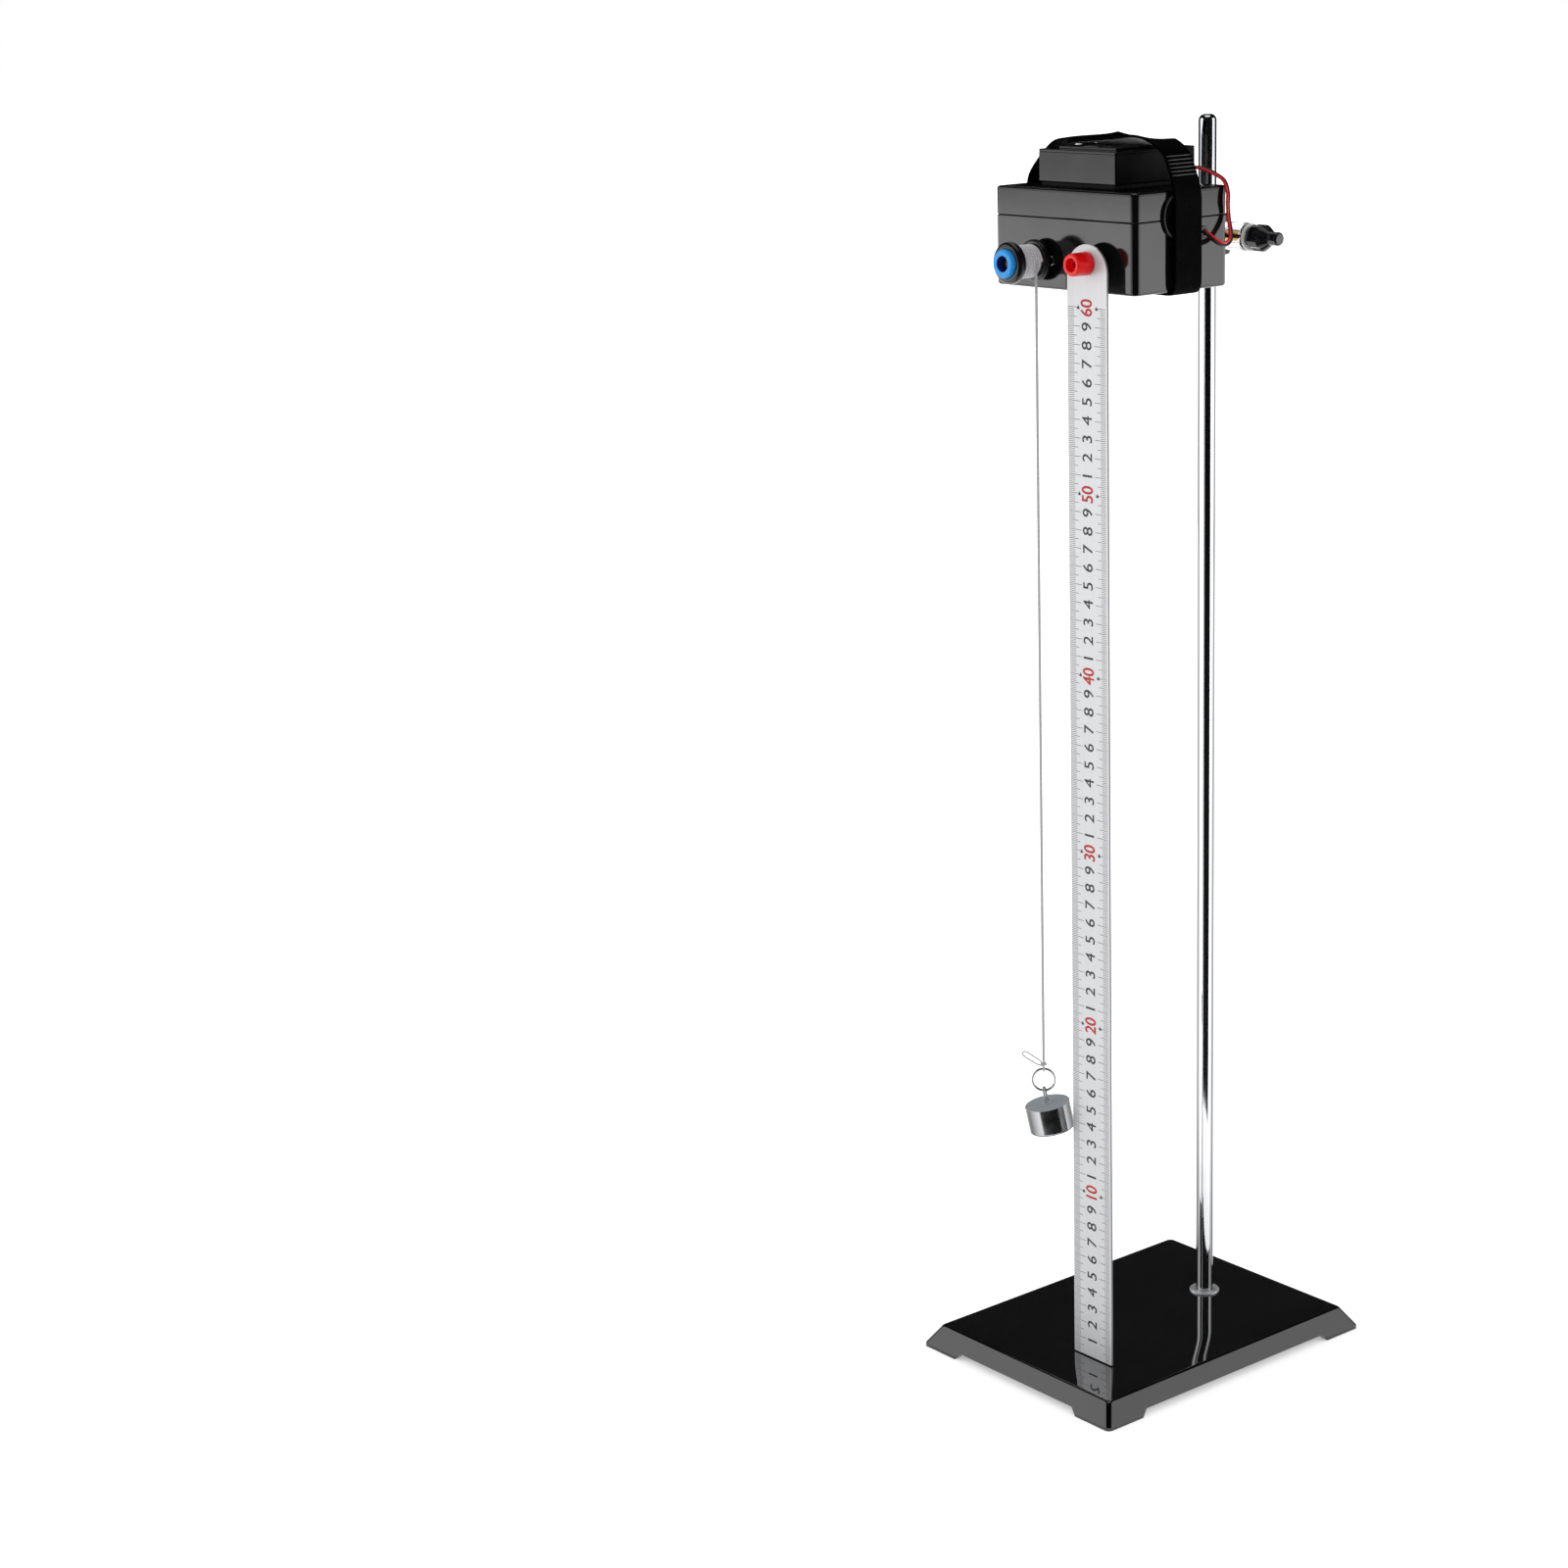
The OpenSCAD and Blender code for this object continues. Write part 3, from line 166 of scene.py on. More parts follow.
def rounded(points: Sequence[Point], steps: int = 6) -> Array:
    """Profile whose corners are arcs tangent to both sides, with a point just before and after each arc.

    Args:
        points: two coordinates and the arc's radius for each corner; the two ends stay points.
        steps: pieces of each arc.

    Returns:
        Points of the profile, two coordinates each.
    """
    data = np.array(points, float)
    p, r = data[:, :2], data[1:-1, 2:]
    mid, u, v = p[1:-1], unit(p[:-2] - p[1:-1]), unit(p[2:] - p[1:-1])
    half = np.arccos(np.clip((u * v).sum(1, keepdims=True), -1, 1)) / 2
    reach = r / np.tan(half)
    slack = 0.03 + 0.15 * reach
    centre = mid + unit(u + v) * r / np.sin(half)
    turn = (np.pi - 2 * half)[:, None]
    k = np.linspace(0, 1, steps + 1)[None, :, None]
    start, end = (mid + u * reach - centre)[:, None], (mid + v * reach - centre)[:, None]
    arc = centre[:, None] + (np.sin((1 - k) * turn) * start + np.sin(k * turn) * end) / np.sin(turn)
    sides = [(mid + w * (reach + slack))[:, None] for w in (u, v)]
    rows = np.concatenate([sides[0], arc, sides[1]], axis=1).reshape(-1, 2)
    return np.concatenate([p[:1], rows, p[-1:]])


def bored(bore: float, r: float, length: float, low: float, high: float) -> Array:
    """Profile of a ring from zero to a length: bore radius, outer radius and its lower and upper rounding."""
    middle = (bore, length / 2, 0)
    return rounded([middle, (bore, 0, 0.1), (r, 0, low), (r, length, high), (bore, length, 0.1), middle])


def lathe(profile: Array, steps: int = 96, grip: Grip | None = None) -> Array:
    """Profile of radius and height carried round the axis.

    Args:
        profile: radius and height of each point, from the lower to the upper end.
        steps: points round the axis.
        grip: factor on the radius from the angle and the height, for flutes.

    Returns:
        Grid of points, one row for each point of the profile.
    """
    angle = np.linspace(0, 2 * np.pi, steps, endpoint=False)[None]
    radius, height = profile[:, :1], profile[:, 1:2] + 0 * angle
    radius = radius * (grip(angle, height) if grip else 1 + 0 * angle)
    return np.stack([radius * np.cos(angle), radius * np.sin(angle), height], -1)


def round_rect(w: Array, d: Array, r: Array, cuts: Sequence[Sequence[float]]) -> Array:
    """Rectangles with round corners, anticlockwise: each straight side followed by a quarter circle.

    Args:
        w: half width of each rectangle, in a column.
        d: half depth of each, in a column.
        r: corner radius of each, in a column.
        cuts: places along the width and along the depth that get a point.

    Returns:
        Grid of flat points, one row for each rectangle.
    """
    quarter = np.linspace(0, np.pi / 2, 9)[None, 1:-1]

    def run(half: Array, places: Sequence[float]) -> Array:
        """Places along one straight side, with a point close to each end."""
        end = half - r
        near = end - np.minimum(0.5, end / 4)
        middle = np.clip(np.array(sorted(places))[None], -near, near) + 0 * end
        return np.concatenate([-end, -near, middle, near, end], axis=1)

    along, up = run(w, cuts[0]), run(d, cuts[1])
    sides = [(along, -d + 0 * along), (w + 0 * up, up), (-along, d + 0 * along), (-w + 0 * up, -up)]
    x, y = [], []
    for k, (side_x, side_y) in enumerate(sides):
        angle = quarter + (k - 1) * np.pi / 2
        x += [side_x, (1 if k < 2 else -1) * (w - r) + r * np.cos(angle)]
        y += [side_y, (1 if k in (1, 2) else -1) * (d - r) + r * np.sin(angle)]
    return np.stack([np.concatenate(x, axis=1), np.concatenate(y, axis=1)], -1)


def rim_loft(
    profile: Array,
    half: Sequence[float],
    corner: float,
    least: float = 0.3,
    cuts: Sequence[Sequence[float]] = ((), ()),
    closed: tuple[bool, bool] = (True, True),
) -> Array:
    """Profile of inset and height carried round a rectangle; a corner's radius shrinks with the inset.

    Args:
        profile: inset from the outline and height of each point.
        half: half width and half depth of the outline.
        corner: corner radius of the outline.
        least: smallest corner radius.
        cuts: extra places along width and depth.
        closed: whether the first and the last row run in to the middle.

    Returns:
        Grid of points, one row for each point of the profile.
    """
    inset = profile[:, :1]
    flat = round_rect(half[0] - inset, half[1] - inset, np.maximum(corner - inset, least), cuts)
    grid = np.concatenate([flat, np.broadcast_to(profile[:, 1:2, None], (*flat.shape[:2], 1))], axis=2)
    first, last = (row * [0, 0, 1] for row in (grid[:1], grid[-1:]))
    return np.concatenate([first[: closed[0]], grid, last[: closed[1]]])


def tube(
    path: Array,
    radius: float | Array,
    sides: int = 12,
    strands: Twist = (0, 1, 0),
    loop: bool = False,
) -> Array:
    """Circle carried along a path; twisted strands make the radius swell and shrink along a screw.

    The side direction is square to the path and to the fixed direction that the path comes least near to.

    Args:
        path: points along the middle of the tube.
        radius: radius, or one for each point.
        sides: points round the tube.
        strands: number of strands, length of one twist and depth of the grooves as a share of the radius.
        loop: whether the path closes on itself.

    Returns:
        Grid of points, one row for each point of the path, and one more at each open end.
    """
    ahead = np.roll(path, -1, 0) - np.roll(path, 1, 0) if loop else np.gradient(path, axis=0)
    along = unit(ahead)
    tries = unit(np.array([(i % 5 - 2.1, i // 5 % 5 - 1.9, i // 25 - 2.05) for i in range(125)]))
    fixed = tries[np.linalg.norm(np.cross(along[None], tries[:, None]), axis=2).min(1).argmax()]
    side = unit(np.cross(along, fixed))
    other = np.cross(along, side)
    angle = np.linspace(0, 2 * np.pi, sides, endpoint=False)
    count, pitch, depth = strands
    swell = 1 - depth + depth * np.cos(count * (angle[None] - 2 * np.pi * distance(path)[:, None] / pitch))
    reach = np.broadcast_to(np.asarray(radius, float).reshape(-1, 1), (len(path), 1)) * swell
    ring = np.cos(angle)[None, :, None] * side[:, None] + np.sin(angle)[None, :, None] * other[:, None]
    grid = path[:, None] + reach[..., None] * ring
    if loop:
        return np.concatenate([grid, grid[:1]])
    ends = [np.broadcast_to(p, (1, sides, 3)) for p in (path[0], path[-1])]
    return np.concatenate([ends[0], grid, ends[1]])


def corners(middle: Array, half: Array) -> Array:
    """Four corners of flat rectangles, anticlockwise: the middle and plus or minus half of each side."""
    return middle[..., None, :] + half[..., None, :] * [(-1, -1), (1, -1), (1, 1), (-1, 1)]


def prisms(lower: Array, upper: Array, heights: Pair) -> Array:
    """Blocks between flat outlines of four points, the lower and the upper ones each at a height."""
    ends = zip((lower, upper), heights)
    return np.stack([np.concatenate([p, np.full((*p.shape[:2], 1), z)], -1) for p, z in ends], 1)


def placed(points: Array, origin: Sequence[float], facing: Facing = Facing.UP) -> Array:
    """Points turned to face a way and moved to an origin."""
    return points @ np.array(facing.value, float) + np.asarray(origin, float)


def turned(points: Array, degrees: float, axis: str) -> Array:
    """Points turned about one axis through the origin."""
    return points @ np.array(Matrix.Rotation(math.radians(degrees), 3, axis)).T


@dataclass(frozen=True)
class Finish:
    """Surface of one real material: two mottled colours, uneven gloss and a fine relief.

    Attributes:
        name: common name of the material and how it was made.
        dark: darker colour of the mottling.
        light: lighter colour.
        rough: least and greatest roughness.
        grain: size of the mottling in millimetres.
        relief: height of the relief in millimetres, and its grain in millimetres.
        stretch: factors that draw the pattern out along each axis.
        metallic: share of metal.
        ior: refractive index.
        specular: strength of the plain reflection.
        coat: weight and roughness of a clear coat.
        sheen: weight of the sheen of loose fibres.
        clear: share of the light that passes through.
        pattern: where the pattern lies.
    """

    name: str
    dark: str
    light: str
    rough: Pair
    grain: float
    relief: Pair = (0.0, 1.0)
    stretch: Point = (1.0, 1.0, 1.0)
    metallic: float = 0.0
    ior: float = 1.5
    specular: float = 0.5
    coat: Pair = (0.0, 0.03)
    sheen: float = 0.0
    clear: float = 0.0
    pattern: Pattern = Pattern.OBJECT

    def material(self) -> Material:
        """Material of this finish, made once."""
        return bpy.data.materials.get(self.name) or self.make()

    def make(self) -> Material:
        """Shader with noise in the colour and roughness, and a bump of finer noise.

        Returns:
            The new material.
        """
        made = bpy.data.materials.new(self.name)
        made.use_nodes = True
        made.diffuse_color = linear(self.light)
        tree = made.node_tree
        tree.nodes.clear()
        place = add_node(tree, "TexCoord")[self.pattern.value]
        scaled = add_node(tree, "Mapping", {"Vector": place, "Scale": tuple(1 / s for s in self.stretch)})[0]
        colors = {"Factor": self.shade(tree, scaled), 6: linear(self.dark), 7: linear(self.light)}
        clouds = {"Vector": scaled, "Scale": 1 / (self.grain * MM * 1.7), "Detail": 4.0}
        gloss = {0: add_node(tree, "TexNoise", clouds)[0], 1: 0.3, 2: 0.7, 3: self.rough[0], 4: self.rough[1]}
        inputs = {
            "Base Color": add_node(tree, "Mix", colors, data_type="RGBA")[2],
            "Roughness": add_node(tree, "MapRange", gloss)[0],
            "Metallic": self.metallic,
            "IOR": self.ior,
            "Specular IOR Level": self.specular,
            "Coat Weight": self.coat[0],
            "Coat Roughness": self.coat[1],
            "Sheen Weight": self.sheen,
            "Transmission Weight": self.clear,
        }
        if self.relief[0]:
            relief = self.height(tree, scaled)
            bump = {"Height": relief, "Strength": 1.0, "Distance": self.relief[0] * MM}
            inputs["Normal"] = add_node(tree, "Bump", bump)[0]
        add_node(tree, "OutputMaterial", {"Surface": add_node(tree, "BsdfPrincipled", inputs)[0]})
        return made

    def shade(self, tree: NodeTree, place: NodeSocket) -> NodeSocket:
        """Mottling between the two colours: soft noise of the grain's size."""
        noise = add_node(tree, "TexNoise", {"Vector": place, "Scale": 1 / (self.grain * MM), "Detail": 3.0})
        return add_node(tree, "MapRange", {0: noise[0], 1: 0.3, 2: 0.7})[0]

    def height(self, tree: NodeTree, place: NodeSocket) -> NodeSocket:
        """Relief: noise of the relief's own grain."""
        noise = {"Vector": place, "Scale": 1 / (self.relief[1] * MM), "Detail": 2.0}
        return add_node(tree, "TexNoise", noise)[0]

    def kept(self, tree: NodeTree, place: NodeSocket, least: float, share: NodeSocket) -> NodeSocket:
        """Mottling that is kept faint and weighed by a share.

        Args:
            tree: node tree of the material.
            place: coordinates of the mottling.
            least: least of the light colour in the mottling.
            share: what is left of the light colour.

        Returns:
            Share of the light colour.
        """
        mottle = add_node(tree, "MapRange", {0: Finish.shade(self, tree, place), 3: least, 4: 1.0})[0]
        return add_node(tree, "Math", {0: mottle, 1: share}, operation="MULTIPLY")[0]


@dataclass(frozen=True)
class SideShadedSheet(Finish):
    """Sheet metal: bright on its broad faces, with painted shade on the narrow side faces that face along X.
    """

    def shade(self, tree: NodeTree, place: NodeSocket) -> NodeSocket:
        """Faint mottling on the faces, and painted shade: none of the light colour on the side faces.

        Args:
            tree: node tree of the material.
            place: coordinates of the mottling.

        Returns:
            Share of the light colour.
        """
        side = add_node(tree, "SeparateXYZ", {0: add_node(tree, "TexCoord")["Normal"]})[0]
        face = add_node(tree, "Math", {0: side, 1: 0.0, 2: 0.5}, operation="COMPARE")[0]
        return self.kept(tree, place, 0.9, face)


@dataclass(frozen=True)
class EdgeShadedPlate(Finish):
    """Bright plate with painted shade: it dims to its dark colour where the surface turns away, standing in
    for the dark surroundings that round bars reflect in a studio.

    Attributes:
        edge: how far the surface has turned away where the painted shade starts and where it is full.
    """

    edge: Pair = (0.22, 0.42)

    def shade(self, tree: NodeTree, place: NodeSocket) -> NodeSocket:
        """Faint mottling, with painted shade: less and less of the light colour towards the outline.

        Args:
            tree: node tree of the material.
            place: coordinates of the mottling.

        Returns:
            Share of the light colour.
        """
        away = add_node(tree, "LayerWeight", {"Blend": 0.5})["Facing"]
        toward = {0: away, 1: self.edge[0], 2: self.edge[1], 3: 1.0, 4: 0.0}
        return self.kept(tree, place, 0.92, add_node(tree, "MapRange", toward)[0])


@dataclass(frozen=True)
class Webbing(Finish):
    """Woven strap: ribs along the length crossed by finer weft, on the strap's own UVs."""

    def height(self, tree: NodeTree, place: NodeSocket) -> NodeSocket:
        """Relief: the greater of two waves, one along and one across, of the thread's spacing.

        Args:
            tree: node tree of the material.
            place: coordinates along and across the strap.

        Returns:
            Height of the relief.
        """
        scale = 2 * math.pi / 20 / (self.relief[1] * MM)
        weft = add_node(tree, "TexWave", {"Vector": place, "Scale": scale}, bands_direction="X")[1]
        warp = add_node(tree, "TexWave", {"Vector": place, "Scale": scale * 0.7}, bands_direction="Y")[1]
        return add_node(tree, "Math", {0: weft, 1: warp}, operation="MAXIMUM")[0]


@dataclass
class Surface:
    """Mesh in whole arrays.

    Attributes:
        verts: corners in millimetres.
        quads: four corner numbers for each face.
        uvs: four UV pairs for each face, in metres along the grid's rows and columns.
        finish: number of the material of each face.
    """

    verts: Array
    quads: IntArray
    uvs: Array
    finish: IntArray

    @classmethod
    def of_grid(cls, grid: Array, finish: int | IntArray = 0, wrap: bool = True) -> "Surface":
        """Faces between neighbouring rows and columns of a grid.

        Args:
            grid: points in rows and columns.
            finish: material number of all faces, in a column of each row of faces, or of each face.
            wrap: whether the last column joins the first.

        Returns:
            The surface, with UVs that measure the mean lengths along rows and columns.
        """
        rows, cols = grid.shape[:2]
        i, j = np.arange(rows - 1)[:, None], np.arange(cols if wrap else cols - 1)[None]
        here, nxt = i * cols + j, i * cols + (j + 1) % cols
        quads = np.stack([here, nxt, nxt + cols, here + cols], -1)
        down = np.linalg.norm(np.diff(grid, axis=0), axis=2).mean(1)
        across = np.linalg.norm(np.roll(grid, -1, 1) - grid, axis=2).mean(0)
        u, v = (np.concatenate([[0], np.cumsum(step)]) * MM for step in (down, across))
        pairs = [(u[i], v[j]), (u[i], v[j + 1]), (u[i + 1], v[j + 1]), (u[i + 1], v[j])]
        uvs = np.stack([np.stack(np.broadcast_arrays(*pair), -1) for pair in pairs], 2)
        number = np.broadcast_to(finish, quads.shape[:2])
        return cls(grid.reshape(-1, 3), quads.reshape(-1, 4), uvs.reshape(-1, 4, 2), number.reshape(-1))

    @classmethod
    def of_prisms(cls, outlines: Array, finish: int = 0) -> "Surface":
        """Blocks between a lower and an upper outline of four points each.

        Args:
            outlines: array of blocks by two outlines by four points by three coordinates.
            finish: material number.

        Returns:
            The surface of all blocks.
        """
        faces = np.array([[3, 2, 1, 0], [4, 5, 6, 7], [0, 1, 5, 4], [1, 2, 6, 5], [2, 3, 7, 6], [3, 0, 4, 7]])
        quads = (faces[None] + 8 * np.arange(len(outlines))[:, None, None]).reshape(-1, 4)
        verts = outlines.reshape(-1, 3)
        return cls(verts, quads, verts[quads][..., :2] * MM, np.full(len(quads), finish))

    @classmethod
    def of_plate(cls, loops: Sequence[Array], height: float) -> "Surface":
        """Flat plate inside the first loop and outside the others, each triangle cut into three faces.

        Args:
            loops: flat outlines, the outer one first.
            height: height of the plate.

        Returns:
            The surface, seen from above.
        """
        starts = np.cumsum([0, *(len(p) for p in loops)])
        rings = [list(range(a, b)) for a, b in zip(starts[:-1], starts[1:])]
        edges = [pair for ring in rings for pair in zip(ring, ring[1:] + ring[:1])]
        flat = [Vector(p) for p in np.concatenate(loops)]
        made = geometry.delaunay_2d_cdt(flat, edges, rings, 1, 1e-6)
        inside = [face for face, sources in zip(made[2], made[5]) if sources == [0]]
        tri = np.array([tuple(p) for p in made[0]])[np.array(inside)]
        nxt, last = np.roll(tri, -1, 1), np.roll(tri, 1, 1)
        middle = np.broadcast_to(tri.mean(1, keepdims=True), tri.shape)
        quads = np.stack([tri, (tri + nxt) / 2, middle, (tri + last) / 2], 2).reshape(-1, 2)
        verts = np.concatenate([quads, np.full((len(quads), 1), height)], 1)
        index = np.arange(len(verts)).reshape(-1, 4)
        return cls(verts, index, verts[index][..., :2] * MM, np.zeros(len(index), int))

    @classmethod
    def joined(cls, parts: Sequence["Surface"]) -> "Surface":
        """One surface of several.

        Args:
            parts: surfaces to join.

        Returns:
            The joined surface, its parts in the same order.
        """
        starts = np.cumsum([0, *(len(p.verts) for p in parts[:-1])])
        quads = np.concatenate([p.quads + s for p, s in zip(parts, starts)])
        verts, uvs = np.concatenate([p.verts for p in parts]), np.concatenate([p.uvs for p in parts])
        return cls(verts, quads, uvs, np.concatenate([p.finish for p in parts]))

    def faced(self, axis: int, finish: int) -> "Surface":
        """The same surface with another finish on the faces that look along an axis, either way.

        Args:
            axis: number of the axis.
            finish: material number of those faces.

        Returns:
            The new surface.
        """
        a, b, c, d = (self.verts[self.quads[:, k]] for k in range(4))
        look = np.abs(unit(np.cross(c - a, d - b))[:, axis]) > 0.8
        return Surface(self.verts, self.quads, self.uvs, np.where(look, finish, self.finish))

    def as_object(self, name: str, finishes: Sequence[Finish], sharp: float = 35.0) -> Object:
        """Mesh object with merged seams, outward faces and edges sharp past an angle.

        Args:
            name: name of the piece.
            finishes: finishes in the order of the material numbers.
            sharp: angle between faces, in degrees, past which their edge is sharp.

        Returns:
            The object, at the origin.
        """
        mesh = bpy.data.meshes.new(name)
        mesh.from_pydata((self.verts * MM).tolist(), [], self.quads.tolist())
        mesh.uv_layers.new(name="surface").data.foreach_set("uv", self.uvs.astype(np.float32).ravel())
        mesh.polygons.foreach_set("material_index", self.finish.astype(np.int32))
        work = bmesh.new()
        work.from_mesh(mesh)
        bmesh.ops.remove_doubles(work, verts=work.verts, dist=2e-7)
        bmesh.ops.recalc_face_normals(work, faces=work.faces)
        work.to_mesh(mesh)
        work.free()
        return dressed_object(mesh, name, finishes, sharp)


def dressed_object(mesh: Mesh, name: str, finishes: Sequence[Finish], sharp: float = 35.0) -> Object:
    """Smooth-shaded object of a mesh, with its materials.

    Args:
        mesh: mesh in metres.
        name: name of the object.
        finishes: finishes in the order of the material numbers.
        sharp: angle in degrees past which an edge is sharp.

    Returns:
        The object, in the scene.
    """
    mesh.polygons.foreach_set("use_smooth", np.ones(len(mesh.polygons), bool))
    mesh.set_sharp_from_angle(angle=math.radians(sharp))
    for finish in finishes:
        mesh.materials.append(finish.material())
    made = bpy.data.objects.new(name, mesh)
    bpy.context.scene.collection.objects.link(made)
    LOG.info("%s: %d faces", name, len(mesh.polygons))
    return made


def settle(piece: Object, body: str, slot: str, *nodes: str) -> Object:
    """Make a piece ride on a body and let it stand for CAD nodes.

    Args:
        piece: object to settle.
        body: CAD body that carries it.
        slot: name of a material slot; not used.
        nodes: CAD nodes that it replaces.

    Returns:
        The same object.
    """
    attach(piece, body)
    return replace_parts(piece, *nodes) if nodes else piece


@dataclass(frozen=True)
class Axis:
    """Axis that the turned pieces of one body share.

    Attributes:
        origin: point on the axis.
        facing: way that the axis runs.
        body: CAD body that carries the pieces.
    """

    origin: Point
    facing: Facing
    body: str

    def turn(
        self,
        name: str,
        rows: Array,
        finishes: Sequence[Finish],
        slot: str,
        node: str,
        out: float = 0.0,
        steps: int = 120,
        grip: Grip | None = None,
        second: int | None = None,
    ) -> None:
        """Carry a profile round the axis and settle it in place of its CAD node.

        Args:
            name: name of the piece.
            rows: radius and height of each point of the profile.
            finishes: one finish, or two.
            slot: name of a material slot, passed on to settle.
            node: CAD node that it replaces.
            out: how far along the axis the profile's zero lies.
            steps: points round the axis.
            grip: factor on the radius, for flutes.
            second: first row of faces that takes the second finish.
        """
        number = (np.arange(len(rows) - 1) >= (second or len(rows))).astype(int)[:, None]
        grid = placed(lathe(rows, steps, grip) + [0, 0, out], self.origin, self.facing)
        settle(Surface.of_grid(grid, number).as_object(name, finishes), self.body, slot, node)


# Gloss enamel on the skirts of the cast base: deep black with clean reflections
BASE_ENAMEL = Finish("gloss black enamel", "#030304", "#070708", (0.05, 0.1), 40, (0.004, 6), ior=1.7)
# The same enamel, flowed out thick on top: mirrors what stands on it, and its colour is a little lighter than
# the skirts' as painted light on the top face
LIT_TOP_ENAMEL = Finish(
    "flowed black enamel", "#0d0d0e", "#121213", (0.02, 0.05), 40, (0.003, 9), ior=2.1, coat=(1.0, 0.02))
# Moulded gloss ABS: black with a slightly wavy skin
GLOSS_ABS = Finish("moulded gloss ABS", "#080809", "#0d0d0e", (0.07, 0.13), 25, (0.006, 5))
# Textured ABS of the battery case: satin black with a fine spark-eroded grain
CASE_ABS = Finish("textured ABS", "#060607", "#0a0a0b", (0.1, 0.16), 12, (0.002, 0.5), specular=0.4)
# Sides of the battery case that face along X: painted shade, dead black and matt, for the strap's shadow and
# dark reflection beside them
SHADED_CASE_SIDE = Finish("matt textured ABS, painted shade", "#040404", "#070708", (0.5, 0.62), 9, (0.01, 0.5), specular=0.08)
# Chrome plate over a polished bar: mirror bright, with painted shade darkening it towards its outline
CHROME = EdgeShadedPlate("polished chrome plate", "#77787b", "#e4e5e7", (0.06, 0.1), 12, metallic=1.0)
# Dull turned end of the weight under thin plating: blue-grey and matt
DULL_STEEL = Finish(
    "turned steel, dull plate", "#98a0a5", "#a5acb1", (0.46, 0.54), 2, (0.004, 0.4), metallic=0.15)
# Nickel plate on the weight: softer mirror than the rod's, with painted shade towards its outline
NICKEL = EdgeShadedPlate(
    "satin nickel plate", "#4c4d4f", "#c9cacc", (0.12, 0.2), 4, (0.0008, 1.2), metallic=1.0,
    edge=(0.02, 0.55))
# Plate on the collar: pale and satin, its pale colour painted light for the bright ring that the collar shows
PALE_LIT_PLATE = Finish(
    "satin nickel plate, painted light", "#b9babc", "#d6d7d8", (0.3, 0.42), 3, (0.002, 0.5), metallic=0.55)
# Nickel-plated wire of the ring and the eye: grey, softly bright, with painted shade towards its outline
NICKEL_WIRE = EdgeShadedPlate(
    "nickel-plated wire", "#8b8c8e", "#d2d3d5", (0.3, 0.4), 3, (0.002, 0.5), metallic=1.0, edge=(0.1, 0.6))
# Zinc-plated screws: grey with a slight bloom
ZINC = Finish("zinc-plated steel", "#9a9ca0", "#b4b6ba", (0.25, 0.4), 2, (0.004, 0.3), metallic=1.0)
# Stainless ruler: satin, drawn along its length, with painted shade on its narrow side faces
RULER_STEEL = SideShadedSheet(
    "satin stainless steel", "#7c7c7e", "#d6d7d9", (0.36, 0.48), 0.5, (0.003, 0.25), (1, 1, 60), 0.15)
# Printing ink on the ruler: flat black, thin grey and flat red, each a little uneven
BLACK_INK = Finish("black printing ink", "#141416", "#1e1e20", (0.45, 0.6), 1.5)
GREY_INK = Finish("thin black printing ink", "#4e4e50", "#5c5c5e", (0.45, 0.6), 1.5)
RED_INK = Finish("red printing ink", "#ac0c16", "#bd161f", (0.45, 0.6), 1.5)
# Turned brass: warm yellow with fine rings
BRASS = Finish("turned brass", "#b08434", "#cda24c", (0.2, 0.32), 1.5, (0.006, 0.3), (8, 1, 1), 1.0)
# Powder coat on the clamp: even satin black
CLAMP_COAT = Finish("black powder coat", "#111112", "#1a1a1b", (0.4, 0.52), 8, (0.02, 0.6))
# Rubbery flanges of the spool: near black, soft shine
FLANGE = Finish("moulded black rubber", "#0a0a0b", "#111113", (0.22, 0.32), 6, (0.004, 0.8))
# Blue moulded cap: clear bright blue, and the deep blue of its shaded bore
BLUE = Finish("moulded blue polypropylene", "#118cdc", "#279dea", (0.25, 0.34), 5, (0.003, 1), specular=0.3)
NAVY = Finish("shaded blue polypropylene", "#0b1f6e", "#12308e", (0.3, 0.4), 4)
# Cotton string that hangs, and its knot: the string's colour darkened to grey as painted shade, fuzzy
SHADED_STRING = Finish(
    "twisted cotton string, painted shade", "#a9a9ae", "#c5c5c9", (0.75, 0.9), 0.9, (0.05, 0.25), sheen=0.2)
# The same string on the spool in its own colour: off-white with a lavender cast, fuzzy
STRING = Finish("twisted cotton string", "#c6c6cb", "#dededf", (0.75, 0.9), 0.9, (0.05, 0.25), sheen=0.4)
# Red moulded knob: bright and glossy
RED = Finish("moulded red ABS", "#dc060b", "#ee0e14", (0.2, 0.3), 8, (0.004, 2), specular=0.3)
# Cast clear acrylic of the thumb screw's sleeve: glassy
ACRYLIC = Finish("clear acrylic", "#f2f6f8", "#ffffff", (0.01, 0.04), 10, ior=1.49, clear=1.0)
# Smoky knob of the thumb screw: dark, with some light in its edges
SMOKE = Finish("smoky acrylic", "#202023", "#2c2c30", (0.05, 0.12), 6, ior=1.49, clear=0.6)
# White nylon of the thumb screw's ring and the spool's core: clean, half matt
WHITE = Finish("moulded white nylon", "#eae9e7", "#f6f5f3", (0.35, 0.45), 5, (0.004, 1))
# Nylon webbing: dull black; the real thread, 0.4 mm, is drawn at 0.9 mm so that it shows
WEBBING = Webbing(
    "woven black nylon", "#010101", "#030303", (0.6, 0.72), 4, (0.1, 0.9), specular=0.025,
    pattern=Pattern.SURFACE)
# Loop pile on the strap's inner face: grey and fuzzy, lightened as a painted highlight where it shows under
# the arch
PILE_AND_HIGHLIGHT = Finish("grey loop pile, painted highlight", "#77777a", "#a3a3a6", (0.85, 0.95), 0.8, (0.4, 0.6), sheen=0.5)
